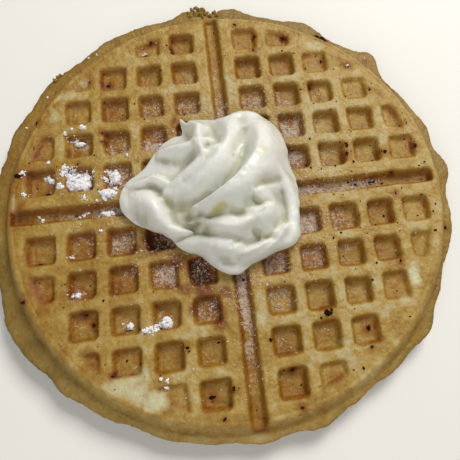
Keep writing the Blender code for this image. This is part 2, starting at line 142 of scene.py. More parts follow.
# Rim and ragged flange. Square grids cover both faces out to BORDER_RADIUS, rings go on from there
BORDER_RADIUS = 83.0
UPPER_STEP = 0.7
LOWER_STEP = 1.35
RING_GROOVE_RADIUS = 83.9
RING_GROOVE_DEPTH = 0.35
RING_GROOVE_HALF = 0.4
RIM_START = 85.0
RIM_DROP = 5.1
FLANGE_ROOT_RADIUS = 89.3
FLANGE_PROFILE = (  # share of the way from the root to the edge, and the level there
    (0.2, -5.25), (0.45, -5.4), (0.7, -5.5), (0.88, -5.6), (0.985, -5.95), (1, -6.5),
    (0.98, -7.1), (0.8, -7.6), (0.5, -7.85), (0.2, -8.1),
)
EDGE_RADIUS = 92.7
EDGE_RUN_OUT = 2.2
EDGE_RUN_OUT_ANGLE = 165
EDGE_NIBBLE = 0.35
EDGE_TONGUES = (  # angle and half width in degrees, reach in millimetres
    (1.5, 5.5, 3.8),
    (15, 6, 2.0),
    (41.5, 4.2, 5.0),
    (63, 6.5, 2.6),
    (84, 5, 3.0),
    (96, 3, 3.0),
    (138, 3, 1.3),
    (205, 5, 2.8),
    (215, 9, 0.7),
    (224, 4, 1.3),
    (245, 9, -1.2),
    (285, 4, 1.5),
    (318.5, 6, 3.2),
    (347, 5, 1.3),
)
EDGE_WAVES = (11, 19, 31)  # nibbles round the whole edge
EDGE_RAGS = ((0.2, 1.9, 41), (0.12, 0.6, 42))  # noises by degrees, as the next three are
FLANGE_LUMPS = ((0.22, 2.4, 43),)
FLANGE_SAG = ((0.4, 14, 44),)
FLANGE_RIPPLES = ((0.3, 1.7, 45),)
RIPPLE_STRETCH = 4  # ripples for each millimetre outwards, against those for each degree
EDGE_MIDDLE = -6  # level that parts the flange's upper side from its lower side
SHOULDER_RINGS, LOWER_RINGS = 16, 7
FLANGE_LEVEL = -5.2  # near its root, where crumbs lie on it
FLANGE_FALL = 0.12  # for each millimetre outwards

# Unevenness of the upper face
FACE_WAVES = ((0.2, 11, 21), (0.15, 2.9, 22))  # twice as strong in the pockets
FACE_GRAIN = ((0.09, 1.5, 23),)
FACE_DROP = 0.15  # keeps the waves under the ridges' level
RING_GROOVE_WAVES = ((0.3, 9, 25),)
PALE_FRAY = ((0.25, 4, 61), (0.15, 1.5, 62))
PALE_GRAIN = ((0.15, 1.8, 24),)
PALE_SINK = 0.5
PALE_FILL = 0.45  # how much shallower a pocket is in a pale patch

# Whipped cream, as its solid is: the outline about its middle by angle and radius, a narrow
# spike on it, the folds that lie on a low dome, and the hollows between them
CREAM_CENTRE = (-5.0, -1.0)
CREAM_OUTLINE = (
    (0, 31.8), (20, 31.8), (40, 37.4), (60, 40), (70, 39), (79, 35), (88, 34), (97, 35),
    (104, 35.4), (112, 31), (124, 32), (140, 31.5), (152, 31.8), (165, 36.6), (178, 38.4),
    (190, 34.6), (204, 28),
    (216, 25), (230, 25.4), (248, 24.8), (260, 28), (274, 31.8), (290, 30.2), (306, 31.2),
    (322, 35.6), (334, 33.4), (346, 32),
)
CREAM_SPIKE = (109, 1.9, 5.4)  # its angle, half width in degrees and reach
CREAM_DOME_HEIGHT = 6.0
CREAM_RIM_HEIGHT = 2.0
CREAM_UNDERCUT = 0.07
CREAM_FOLD_SHARPNESS = 5.5
CREAM_FOLD_FALL = 1.15
CREAM_EDGE_RAGS = ((0.25, 5, 71),)
CREAM_UNEVEN = ((0.2, 4.2, 72), (0.07, 1.1, 74))
CREAM_UNEVEN_ASKEW = ((0.16, 2.3, 73),)
CURVE_STEPS = 14  # between two places of a fold or a hollow
CREAM_TOP_LEVEL, CREAM_SIDE_LEVEL = 15.0, 12.0  # where the yellow places and the beige places with painted shade lie
CREASE_SHADE_REACH = 3.0
CREASE_SHADE_DEPTH = 1.3  # below its neighbours, of a place that gets the full greenish grey painted shade
PIT_DEPTH = 2.4  # of a hollow that looks wholly yellow
CREAM_FOLDS = {  # how flat the left and the right side are; then place, height, and half
    # width to the left and to the right of the way along the fold
    "sweep": (2.6, 1.6, (
        (11, 29.5, 10, 8, 9), (13, 19.5, 17, 12, 9), (11, 9, 22, 13, 7.5),
        (6, 1.5, 24, 13, 6), (-0.5, -4, 24, 11, 5), (-7, -6.5, 20, 8, 4),
        (-13, -7, 13, 4.5, 3))),
    "upper": (2, 1.9, (
        (1.5, 30, 10, 12, 6), (1.5, 19, 15.5, 12, 6), (-3, 9.5, 19, 11, 6), (-9, 4, 18, 9, 6),
        (-16, 0.5, 13.5, 7, 5), (-23, -1, 9, 5, 4))),
    "second": (2.2, 2, (
        (-5.5, 13, 17, 8, 6), (-11.5, 8, 16, 8, 6), (-18, 4.5, 13, 7, 5),
        (-24.5, 1, 9, 4.5, 3.5))),
    "spur": (1.7, 1.7, (
        (-7, 19.5, 13, 5.5, 5), (-14.5, 18.5, 12.5, 6, 5), (-21, 19, 10.5, 5, 4),
        (-26, 19.5, 8.5, 2.5, 2))),
    "stub": (1.7, 1.7, ((-10, 26.5, 10, 5, 6), (-10, 19.5, 13, 4, 6), (-9, 12.5, 16, 4, 5))),
    "spike": (1.7, 1.7, (
        (-9.5, 27, 11, 5, 4), (-12.5, 31, 9.5, 3, 2.2), (-15.2, 33.8, 8.5, 1.8, 1.2),
        (-17.7, 35.8, 8, 0.9, 0.9))),
    "brim": (2, 2, ((1, 30.5, 8.5, 5, 5), (8, 32, 8.5, 5, 5), (13, 31, 9, 5, 5))),
    "lip": (1.7, 1.7, (
        (-39.5, 7.5, 4, 1.5, 1.5), (-34, 7, 7.5, 2.5, 2.5), (-29, 7.5, 9.5, 3.5, 3),
        (-24, 4, 10, 4, 3.5))),
    "ball": (2.3, 2.3, (
        (-39.5, -1, 6, 6, 5), (-34.5, -1, 9.5, 7, 6), (-30, -4, 11.5, 7, 6),
        (-28, -9.5, 11.5, 6, 5), (-25, -13, 10, 4.5, 4), (-21, -14.5, 8.5, 3, 2.5),
        (-16.5, -15.5, 7, 1.2, 1.2))),
    "front": (2.4, 1.7, (
        (-11.5, -14, 12, 7, 4.5), (-5, -16.5, 16, 9, 6), (1.5, -17.5, 17, 9, 6.5),
        (7.5, -14.5, 17, 8, 6.5))),
    "right": (2.4, 2, ((9.5, -6, 17.5, 7, 5), (11.5, -12, 17, 7, 5), (10, -17, 14, 6, 5))),
    "apron": (1.7, 1.7, (
        (19.5, 4, 12, 4, 8), (22.5, -1.5, 11, 4, 8), (24, -7.5, 9, 4, 7), (23.5, -16, 8, 4, 7),
        (20.5, -22.5, 8, 4, 7), (13, -25.5, 7.5, 4, 6), (6, -29, 6.5, 4, 5))),
    "band": (2, 1.7, (
        (18, -18, 11, 4, 4), (11, -24, 12, 4, 5), (4, -26, 11.5, 4, 5), (-1.5, -27, 9, 4, 4))),
    "left": (2, 2, (
        (-22.5, -20.5, 6, 4, 5), (-15, -20.5, 10.5, 6, 6), (-8, -22.5, 13, 7, 7),
        (-1.5, -24, 13, 7, 7))),
    "foot": (2.2, 2, (
        (-11.5, -27, 5, 4, 4), (-7, -30.5, 6.5, 6, 5), (-1, -32, 6.5, 6, 5), (1, -34, 4, 3, 3))),
}
CREAM_HOLLOWS = (  # along each hollow: place, depth and half width
    ((-7.5, 22, 0.6, 1.3), (-7, 18, 1.4, 1.6), (-7, 14, 1, 1.5)),
    ((-8.8, -12, 1.4, 1.2), (-6.2, -10.8, 2.2, 1.6), (-3, -10.2, 1.8, 1.5), (0, -10.4, 0.8, 1.3)),
    ((0, -12, 1, 1.5), (2, -13.2, 1.6, 1.8), (5, -13.8, 1, 1.5)),
    ((8.5, -5.5, 2, 1.1), (12, -3, 3, 1.3), (18.5, 0, 1.5, 1.1)),
    ((8, -8.5, 2, 1.1), (10.5, -10, 2.5, 1.3), (14, -9, 1.5, 1.1)),
    ((6.5, -19, 2.2, 1.3), (10, -20, 3.2, 1.7), (13.5, -21.5, 1.8, 1.3)),
    ((4.5, -18.5, 1, 0.8), (1, -21.5, 1.2, 0.9), (-2.5, -24, 0.8, 0.8)),
    ((19.5, -4, 1.2, 0.9), (20, -10.5, 1.6, 1), (18, -16.5, 1.6, 1), (12.5, -23, 1.8, 1),
     (6, -26.5, 1.6, 1), (0, -28, 1.6, 1)),
    ((-9.5, -24.5, 1.4, 1.2), (-6.5, -27, 2, 1.3), (-2.5, -29, 1.6, 1.1)),
    ((7.5, 22.5, 1.5, 1.4), (4, 16, 2.4, 1.6), (2, 10, 1.5, 1.2)),
)

# Where the cream looks faintly yellow, and where it lies thinly in a valley between folds and
# looks beige with painted shade, by pixels of the photograph: middle and half width
CREAM_BUTTERY_PX = ((262, 157, 6), (178, 200, 5), (244, 213, 5))
CREAM_THIN_SHADE_PX = (
    (186, 212, 9), (180, 203, 7), (196, 222, 8), (166, 198, 6), (206, 230, 6), (158, 191, 4),
)

# Lumps of sugar, and last three knobs of batter on the rim, as in the solid: place, half lengths
# along X and Y, level of the middle and half height
SUGAR_CLUMPS = (
    (-61.5, 12.8, 4.2, 4.4, -3.0, 2.3),
    (-57.4, 12.6, 3.0, 4.0, -2.9, 2.0),
    (-66.4, 11.4, 1.8, 1.6, -0.6, 1.3),
    (-45.6, 14.0, 2.4, 3.4, -3.1, 1.7),
    (-47.4, 6.4, 4.0, 2.2, -0.6, 1.8),
    (-34.9, -48.6, 2.9, 2.8, -2.6, 2.0),
    (-29.6, -46.6, 2.6, 2.8, -3.0, 2.1),
    (-57.0, 36.6, 1.8, 1.2, -0.4, 1.1),
    (-59.0, 30.8, 2.6, 1.2, -3.6, 1.3),
    (-70.2, 15.4, 1.9, 1.2, -3.3, 1.2),
    (-49.0, -1.4, 3.4, 1.4, -3.4, 1.3),
    (-42.6, -45.8, 1.2, 1.7, -3.6, 1.2),
    (-61.2, -32.2, 1.3, 1.5, -3.5, 1.3),
    (-4.2, 93.6, 4.4, 3.4, -5.6, 1.9),
    (-4.6, 96.6, 2.3, 2.2, -5.4, 1.8),
    (4.0, 92.4, 2.4, 2.2, -5.6, 1.5),
)

# Pale places that never touched the plate, by pixels of the photograph: middle, half width and
# half height, strength
PALE_PATCHES_PX = (
    (116, 387, 17, 10, 0.75),
    (136, 392, 20, 14, 0.9),
    (156, 402, 17, 14, 0.9),
    (145, 374, 8, 12, 0.6),
    (415, 273, 8, 14, 1.0),
    (404, 300, 9, 7, 0.6),
    (55, 115, 9, 8, 0.6),
    (66, 96, 16, 6, 0.55),
    (84, 82, 10, 5, 0.5),
    (315, 45, 16, 6, 0.6),
    (357, 71, 8, 6, 0.5),
    (346, 342, 8, 5, 0.6),
    (262, 317, 6, 6, 0.6),
    (12, 205, 6, 14, 0.5),
    (130, 62, 26, 8, 0.35),
)

# Where syrup has run from the cream, by pixels: middle and half width
SYRUP_SPOTS_PX = (
    (157, 246, 10), (150, 240, 8), (178, 262, 9), (199, 272, 12), (186, 290, 7), (206, 292, 10),
    (214, 306, 9), (196, 310, 6), (222, 322, 7), (182, 236, 7), (136, 249, 5), (226, 292, 7),
)

# Pockets half under the cream, dark with painted shadow of its brim and without sugar, by pixels:
# middle and half width
SHADOWED_OPENINGS_PX = ((157, 245, 11), (199, 270, 11), (177, 128, 6))
SYRUP_LEVEL, OPENING_LEVEL = -2.0, -4.0  # of the faces that those pixels show

# Loose powdery sugar, by pixels: middle and radius of round heaps that run into each other
SUGAR_HEAPS_PX = (
    (63.5, 174, 3.2), (69, 175, 4), (75, 175, 4.4), (81, 177, 3.8), (87, 175, 3.6), (91, 179, 3),
    (72, 181, 4), (78, 183, 4.2), (74, 188, 4), (79, 190, 3.4), (90.5, 183.5, 2), (67, 171, 2),
    (110, 173, 3.2), (114, 178, 3.6), (106, 180, 2.8), (112, 185, 3.2), (115.5, 189, 2.2),
    (103, 193.5, 3.3), (109, 196, 4.4), (114, 194.5, 2.4), (104.5, 198.5, 3), (117, 172, 1.6),
    (49, 163.5, 2.4), (50, 178, 3.2), (45.5, 179, 1.8), (60, 185, 2.6), (22, 173, 2.8),
    (25, 195, 2.6), (84.5, 197.5, 2.8), (99, 216.5, 2), (104, 214, 2.6), (109, 216, 2.8),
    (113, 214, 2.2), (84, 216, 1.5), (88, 214, 1.8), (80, 218, 1.2), (43, 221, 2.2),
    (39.5, 217.5, 1.6), (101, 231, 1.8), (146, 331, 4), (151, 328.5, 3.4), (155, 331, 2.4),
    (160, 326, 3.4), (165, 324, 3.4), (169, 322, 2.2), (129.5, 327, 2.8), (123, 324, 1.3),
    (74, 297, 2.6), (72.5, 258, 2.1), (161, 379, 2.4), (167, 381, 2.2), (167, 388, 2.4),
    (82, 127, 2.4), (72, 129, 1.6), (66, 136, 1.5), (77.5, 142, 2.8), (72, 143, 1.6),
    (127, 155, 1.3), (93, 172, 1.3), (97, 201, 1.2), (120, 184, 1.3), (122, 199, 1.3),
    (145, 55, 1.6), (97, 55, 1), (89, 58.5, 1), (48, 98, 1.2), (27, 128, 1), (160, 145, 1),
    (347, 66, 1.6), (364, 58, 1),
)

# Knobs of batter that boiled over at the top of the rim, by pixels: middle and radius
CRAG_KNOBS_PX = (
    (189, 14, 2.6), (192, 11, 2.6), (196, 9, 3.0), (199, 11, 2.8), (203, 11, 2.6), (206, 14, 2.4),
    (195, 14, 3), (201, 15, 3), (190, 17, 2), (210, 16, 1.8), (214, 13, 2), (216, 16, 1.8),
    (58, 78, 2.4), (55, 81, 2.2), (61, 76, 1.6),
)

# The largest burnt crumbs, by pixels of the photograph: middle, width and height
BURNT_CRUMBS_PX = (
    (327, 313, 9, 8), (370, 328, 5, 6), (19, 177.5, 7, 6), (46, 193.5, 5, 4), (25, 302.5, 8, 4),
    (346, 147, 3.5, 7), (346, 155, 3, 7), (384, 153, 5, 5), (414, 147, 4, 5), (373, 180, 8, 3),
    (357, 182, 4, 3), (391, 172.5, 4, 2), (394.5, 194, 2, 5), (283, 39, 5, 5), (254.5, 38, 3, 3),
    (318, 31, 5, 4), (322, 34, 9, 8), (326, 39, 7, 8), (243.5, 279, 4, 3.5),
    (235, 27, 3, 3), (347, 67.5, 5, 3), (321, 61, 2.5, 5),
    (367, 57, 3, 3), (310, 86.5, 3, 5), (368.5, 91.5, 3, 3), (399, 127, 3, 3), (449, 225, 4, 4),
    (399.5, 261.5, 3, 3), (371, 347, 3, 4), (302, 407.5, 3, 3), (270.5, 340, 3, 4),
    (293, 370, 4, 3), (212, 398, 8, 4), (234, 389, 3, 5), (188, 348, 4, 3), (225, 419, 4, 3),
    (92, 325, 3, 5), (85, 314.5, 5, 3), (113, 376.5, 4, 2), (39, 264, 4, 2), (38, 125, 3, 5),
    (107, 84, 4, 4), (90.5, 84, 2, 5), (145, 55.5, 4, 3), (151, 43.5, 3, 4), (103, 134.5, 3, 2),
    (171, 50, 1.5, 4), (253, 52, 2, 4), (103, 143, 2, 2), (79, 165.5, 2.5, 2.5),
)
SUGAR_CORES = 13  # the lumps of SUGAR_CLUMPS that are sugar; the others are the crag on the rim

# How brown the crust is baked, from 0 to 1: on the ridges, and what is added elsewhere
RIDGE_BAKE = 0.17
FLOOR_BAKE = 0.2
WALL_BAKE = 0.27
SOAKED_BAKE = 0.12
SYRUP_BAKE = 0.32
# painted shadow: how much browner the pockets half under the cream's brim are made
OPENING_SHADOW = 0.4
SCORCH_BAKE = 0.4
FLANGE_BAKE = 0.26
EDGE_BAKE = 0.08
BAKE_MOTTLE = ((0.1, 16, 52), (0.09, 5, 53), (0.09, 2.1, 55))
FLANGE_MOTTLE = ((0.08, 9, 54), (0.07, 2.6, 57))
SYRUP_FRAY = ((0.35, 3.5, 56),)
DULL_MOTTLE = ((0.5, 6, 58),)
LAND_START = 76  # radius from which the rim is one flat land
TURNED_START = 84.3  # radius from which it turns down
DULL_START = 85.5
SOAKED_REACH = 16  # from the cream
# Changes towards some sides of the rim: strength, angle and half width in degrees. The negative
# rows, between 235 and 262 degrees, are painted light: they lighten the rim's lower side, which
# the lamps leave in shade
LAND_SIDES = ((0.11, 200, 60),)
TURNED_SIDES = ((0.1, 145, 42), (-0.12, 235, 32))
FLANGE_SIDES = ((0.12, 150, 36), (-0.12, 255, 50))
DULL_SIDES = ((0.3, 203, 28), (-0.3, 262, 40))

# Where fine sugar lies: strength and reach round the cream; along the grooves to +X and to -Y
# strength, start, where it begins to fade and over what length; a streak to -X
SUGAR_ROUND_CREAM = ((0.95, 13), (0.35, 30))
SUGARED_GROOVES = ((0.6, 20, 40, 26), (0.7, 20, 50, 18))
SUGARED_HALF = 3.5
SUGAR_STREAK = (0.4, -50, 14)  # strength, middle and half length
SUGAR_UNEVEN = ((0.6, 5, 51),)
SUGAR_SKIRT = 1.5  # how far it lies round each lump

# Loose bits, scattered within a radius
FIELD_RADIUS = 84
GRAIN_TRIES = 60000
MOST_GRAINS = 15000
GRAIN_CHANCE = 0.8  # where sugar lies thickest
STRAY_GRAINS = 0.006  # their share where there is no sugar
GRAIN_CLUSTER = (1, 7)  # from 1 crystal to one less than 7
GRAIN_SPREAD = (0.12, 0.5)
GRAIN_SIZES = (0.12, 0.26)  # half lengths in millimetres, as the other sizes here
HEAP_SPREAD = 0.55  # of its radius
HEAP_HEIGHT = 0.55  # of its radius
HEAP_LEAST = 4
CORE_OVERLAP = 0.2
UNDER_CREAM = 1.5  # how far grains go on under the cream's brim
HEAP_SIZES = (0.16, 0.42)
CRAG_SIZES = (0.25, 0.65)
CRAG_SUGAR_SIZES = (0.15, 0.35)
SMALL_CRUMBS = 260
SMALL_CRUMB_SIZES = (0.14, 0.36)
CRUMB_LEVEL = -1.5
CRUMB_CHIPS = 5  # round each large crumb
CRUMB_SIDE = (0.45, 0.25, 0.45)  # share of small crumbs to one side; its angle and its spread

BATTER_SLOT = "baked_batter"
CREAM_SLOT = "whipped_cream"


# Small helpers

def linear(hex_colour):
    """An sRGB hex colour as linear red, green, blue and an alpha of 1."""
    parts = [int(hex_colour[i : i + 2], 16) / 255 for i in (1, 3, 5)]
    return [p / 12.92 if p <= 0.04045 else ((p + 0.055) / 1.055) ** 2.4 for p in parts] + [1.0]


def smooth(t):
    """The smooth step from 0 to 1 that is level at both ends."""
    t = np.clip(t, 0, 1)
    return t * t * (3 - 2 * t)


def noise(x, y, size, seed):
    """Seeded random values from -1 to 1 on a square lattice of that size, blended smoothly."""
    lattice = np.random.default_rng(seed).uniform(-1, 1, (LATTICE, LATTICE))
    u, v = (np.asarray(way) / size + shift for way, shift in zip((x, y), LATTICE_SHIFT))
    i, j = np.floor(u).astype(int), np.floor(v).astype(int)
    s, t = smooth(u - i), smooth(v - j)
    i, j, right, above = (cell % LATTICE for cell in (i, j, i + 1, j + 1))
    low = lattice[i, j] * (1 - s) + lattice[right, j] * s
    high = lattice[i, above] * (1 - s) + lattice[right, above] * s
    return low * (1 - t) + high * t


def waves(x, y, rows, seed=0):
    """Noises added up, from a table of them, with a number added to each seed."""
    return sum(strength * noise(x, y, size, own + seed) for strength, size, own in rows)


def bell(distance, half_width):
    """A bell over a distance, 1 at its middle."""
    return np.exp(-((distance / half_width) ** 2))


def bump(angle, centre, half_width):
    """A bell over an angle in degrees, 1 at its centre."""
    return bell((angle - centre + 180) % 360 - 180, half_width)


def by_side(angle, rows):
    """Bells over angles added up, from a table of strength, angle and half width in degrees."""
    return sum(strength * bump(angle, centre, half) for strength, centre, half in rows)


def place(points):
    """Plate millimetres as the frame's metres."""
    shift = np.array([PLATE_CENTRE[0], PLATE_CENTRE[1], RIDGE_LEVEL])
    return (np.asarray(points, float) + shift) * MM


def camera_turn():
    """The camera's axes as the columns of a matrix: turned about X, then Y, then Z."""
    turns = [math.radians(angle) for angle in EYE_TURNS]
    made = Matrix.Identity(4)
    for angle, axis in zip(turns, "XYZ"):
        made = made @ Matrix.Rotation(angle, 4, axis)
    return made


def under_pixel(column, row, level=0.0):
    """The place on a level plane that a pixel of the photograph shows."""
    half = PICTURE_PX / 2
    ray = np.array([column - AXIS_COLUMN, half - row, -LENS_PX])
    ray = np.array(camera_turn().to_3x3()) @ ray
    reach = (level - EYE[2]) / ray[2]
    return EYE[0] + reach * ray[0], EYE[1] + reach * ray[1]


def new_mesh(name, points, faces, attributes=None):
    """A smooth mesh object from plate millimetres, with its named point values."""
    mesh = bpy.data.meshes.new(name)
    mesh.from_pydata(place(points).tolist(), [], faces)
    mesh.polygons.foreach_set("use_smooth", np.ones(len(mesh.polygons), bool))
    for label, values in (attributes or {}).items():
        layer = mesh.attributes.new(label, "FLOAT", "POINT")
        layer.data.foreach_set("value", np.asarray(values, np.float32))
    mesh.validate()
    mesh.update()
    obj = bpy.data.objects.new(name, mesh)
    bpy.context.scene.collection.objects.link(obj)
    return obj


def ring_faces(count, around):
    """Quads between rings of points, ring after ring, numbered from 0."""
    ring = np.arange(around)
    after = (ring + 1) % around
    rows = np.arange(count - 1)[:, None] * around
    quads = np.stack([rows + ring, rows + around + ring, rows + around + after, rows + after], -1)
    return quads.reshape(-1, 4)


def closed_faces(count, around):
    """Quads between rings, then triangles that close the first and the last ring at two points,
    which are numbered after the rings."""
    faces = ring_faces(count, around).tolist()
    last, pole = (count - 1) * around, count * around
    faces += [[n, (n + 1) % around, pole] for n in range(around)]
    faces += [[last + (n + 1) % around, last + n, pole + 1] for n in range(around)]
    return faces


# Shape of the baked batter

def edge_radius(angle):
    """Radius of the flange's ragged edge: a mean, a run-out to one side, tongues and nibbles."""
    radius = EDGE_RADIUS + EDGE_RUN_OUT * np.cos(np.radians(angle - EDGE_RUN_OUT_ANGLE))
    for centre, half_width, reach in EDGE_TONGUES:
        radius = radius + reach * bump(angle, centre, half_width)
    for count in EDGE_WAVES:
        radius = radius + EDGE_NIBBLE * np.sin(np.radians(count * angle) + count)
    return radius


def curve(points, steps):
    """A smooth curve through points of any number of values, with that many steps between."""
    given = np.array(points, float)
    row = np.concatenate([2 * given[:1] - given[1:2], given, 2 * given[-1:] - given[-2:-1]])
    before, start, end, beyond = (row[n : n + len(given) - 1, None] for n in range(4))
    t = np.linspace(0, 1, steps, endpoint=False)[:, None]
    made = 2 * start + (end - before) * t + (2 * before - 5 * start + 4 * end - beyond) * t**2
    made = (made + (3 * start - before - 3 * end + beyond) * t**3) / 2
    return np.concatenate([made.reshape(-1, given.shape[1]), given[-1:]])


def cream_outline(angle):
    """Radius of the cream's outline about its centre: a smooth closed curve, and the spike."""
    row = np.array(CREAM_OUTLINE, float)
    row = np.concatenate([row[-3:] - (360, 0), row, row[:3] + (360, 0)])
    dense = curve(row, 10)
    radius = np.interp(np.asarray(angle) % 360, dense[:, 0], dense[:, 1])
    centre, half_width, reach = CREAM_SPIKE
    return radius + reach * bump(angle, centre, half_width)


def beyond_cream(x, y):
    """Distance outside the cream's outline, negative under it."""
    across, along = x - CREAM_CENTRE[0], y - CREAM_CENTRE[1]
    return np.hypot(across, along) - cream_outline(np.degrees(np.arctan2(along, across)))


def pocket_rows():
    """Side of X, side of Y, column, row, and the middle of each pocket."""
    counts = range(1, ROWS + 1)
    for side_x, side_y, column, row in product((-1, 1), (-1, 1), counts, counts):
        across, along = (FIRST_ROW + (count - 1) * PITCH for count in (column, row))
        reach = math.hypot(across - MOUTH_HALF, along - MOUTH_HALF)
        if reach < BORE_RADIUS - LEAST_POCKET_REACH:
            yield (side_x, side_y, column, row), side_x * across, side_y * along


def pressed(x, y, shares, seed):
    """How deep the plate pressed, in millimetres, how far down a place lies, from 0 to 1, and how
    much it belongs to a wall.

    A pocket is a box with round corners: the distance inside its mouth, over the width of its
    wall, goes through the smooth step. The bore and the ends of the grooves limit it alike.
    """
    x = x + waves(x, y, STRAY, seed)
    y = y + waves(x, y, STRAY, seed + 1)
    radius = np.hypot(x, y)
    inside_bore = smooth((BORE_RADIUS - radius) / BORE_WALL)
    depth, down, wall = np.zeros((3,) + np.shape(x))
    draw = np.random.default_rng(seed)
    for key, middle_x, middle_y in pocket_rows():
        half = MOUTH_HALF * draw.uniform(*MOUTH_SPREAD)
        full = POCKET_DEPTH * draw.uniform(*DEPTH_SPREAD)
        across = np.abs(x - middle_x) - (half - POCKET_CORNER)
        along = np.abs(y - middle_y) - (half - POCKET_CORNER)
        outside = np.hypot(np.maximum(across, 0), np.maximum(along, 0))
        outside = outside + np.minimum(np.maximum(across, along), 0) - POCKET_CORNER
        share = shares.get(key, 1.0)
        look = min(1.0, share * SHALLOW_LOOK)
        way = np.minimum(smooth(-outside / WALL_WIDTH), inside_bore)
        down = np.maximum(down, way * look)
        wall = np.maximum(wall, 4 * way * (1 - way) * look)
        depth = np.maximum(depth, way * full * share)
    for across, along, first, last in ((y, x, 0, 2), (x, y, 1, 3)):
        way = smooth((GROOVE_MOUTH_HALF - np.abs(across)) / GROOVE_WALL)
        way = way * smooth((GROOVE_REACH[first] - along) / GROOVE_END[first])
        way = way * smooth((GROOVE_REACH[last] + along) / GROOVE_END[last])
        down, wall = np.maximum(down, way), np.maximum(wall, 4 * way * (1 - way))
        depth = np.maximum(depth, way * GROOVE_DEPTH)
    return depth, down, wall


def patch_share(x, y):
    """How far a place belongs to the pale patches, from 0 to 1, with a frayed border."""
    share = np.zeros(np.shape(x))
    for column, row, half_width, half_height, strength in PALE_PATCHES_PX:
        middle_x, middle_y = under_pixel(column, row)
        left, _ = under_pixel(column - half_width, row)
        _, low = under_pixel(column, row + half_height)
        off = np.hypot((x - middle_x) / (middle_x - left), (y - middle_y) / (middle_y - low))
        off = off + waves(x, y, PALE_FRAY)
        share = share + strength * smooth((1.45 - off) / 1.3) * (1 - share)
    return share * smooth((RIM_START + 1 - np.hypot(x, y)) / 2)


def rim_fall(radius):
    """Level of the rim's turned shoulder: a smooth step down to the flange."""
    return -RIM_DROP * smooth((radius - RIM_START) / (FLANGE_ROOT_RADIUS - RIM_START))


def upper_surface(x, y):
    """Level of the upper face and its shoulder, with the values for the crust's colour."""
    depth, down, wall = pressed(x, y, SHALLOW_POCKETS, UPPER_SEED)
    pale = patch_share(x, y)
    radius = np.hypot(x, y)
    height = np.minimum(-depth * (1 - PALE_FILL * pale), rim_fall(radius))
    ring = bell(radius - RING_GROOVE_RADIUS, RING_GROOVE_HALF)
    height = height - RING_GROOVE_DEPTH * ring * (0.7 + waves(x, y, RING_GROOVE_WAVES))
    height = height + waves(x, y, FACE_WAVES) * (1 + down) + waves(x, y, FACE_GRAIN) - FACE_DROP
    height = height - pale * (PALE_SINK + waves(x, y, PALE_GRAIN))
    return height, down, wall, pale


def lower_surface(x, y):
    """Level of the lower face: the same pattern, seen from below."""
    depth, down, wall = pressed(x, -y, {}, LOWER_SEED)
    height = -THICKNESS + np.maximum(depth, -rim_fall(np.hypot(x, y)))
    return height, down, wall, np.zeros(np.shape(x))


def disc_grid(step):
    """A square grid cut to a disc, its outer points moved onto the circle.

    Returns x, y, the quads and the border's points in order of their angle.
    """
    reach = math.ceil(BORDER_RADIUS / step)
    lines = np.arange(-reach, reach + 1) * step
    x, y = (values.ravel() for values in np.meshgrid(lines, lines, indexing="ij"))
    count = len(lines)
    i, j = np.meshgrid(np.arange(count - 1), np.arange(count - 1), indexing="ij")
    first = (i * count + j).ravel()
    quads = np.stack([first, first + count, first + count + 1, first + 1], -1)
    kept = quads[(np.hypot(x, y)[quads] <= BORDER_RADIUS - step / 3).all(axis=1)]
    used, renumbered = np.unique(kept, return_inverse=True)
    quads = renumbered.reshape(-1, 4)
    x, y = x[used], y[used]
    ends = np.sort(np.stack([quads, np.roll(quads, -1, axis=1)], -1).reshape(-1, 2), axis=1)
    edges, times = np.unique(ends, axis=0, return_counts=True)
    border = np.unique(edges[times == 1])
    border = border[np.argsort(np.arctan2(y[border], x[border]))]
    angle = np.arctan2(y[border], x[border])
    x[border], y[border] = BORDER_RADIUS * np.cos(angle), BORDER_RADIUS * np.sin(angle)
    return x, y, quads, border


def zipped(first, first_angle, second, second_angle):
    """Triangles between two rings of unlike counts: each point, in order of its angle, makes one
    with the point before it on its own ring and the last one passed on the other ring."""
    order = np.argsort(np.concatenate([first_angle, second_angle]), kind="stable")
    on_first = order < len(first)
    a, b = np.cumsum(on_first) - 1, np.cumsum(~on_first) - 1
    made = np.stack([first[a - on_first], second[b], first[a]], -1)
    other = np.stack([first[a], second[b - 1], second[b]], -1)
    return np.where(on_first[:, None], made, other)


def rim_rings(angle):
    """Rings from the upper face's border round to the lower one's: x, y, level, and the values
    for the colour. The flange runs from its root to the ragged edge, lumpy and sagging."""
    cosine, sine, none = np.cos(angle), np.sin(angle), np.zeros(len(angle))
    degrees = np.degrees(angle)
    ragged = edge_radius(degrees) + waves(degrees, none, EDGE_RAGS)
    lump, sag = waves(degrees, none, FLANGE_LUMPS), waves(degrees, none, FLANGE_SAG)
    rings = []
    for radius in np.linspace(BORDER_RADIUS, FLANGE_ROOT_RADIUS, SHOULDER_RINGS)[1:]:
        x, y = radius * cosine, radius * sine
        rings.append((x, y, *upper_surface(x, y)))
    for share, level in FLANGE_PROFILE:
        radius = FLANGE_ROOT_RADIUS + (ragged - FLANGE_ROOT_RADIUS) * share
        ripples = waves(degrees, radius * RIPPLE_STRETCH, FLANGE_RIPPLES) * (level > EDGE_MIDDLE)
        height = level + lump + ripples + sag * share
        rings.append((radius * cosine, radius * sine, height, none, none, none))
    for radius in np.linspace(FLANGE_ROOT_RADIUS, BORDER_RADIUS, LOWER_RINGS)[:-1]:
        x, y = radius * cosine, radius * sine
        rings.append((x, y, *lower_surface(x, y)))
    return rings


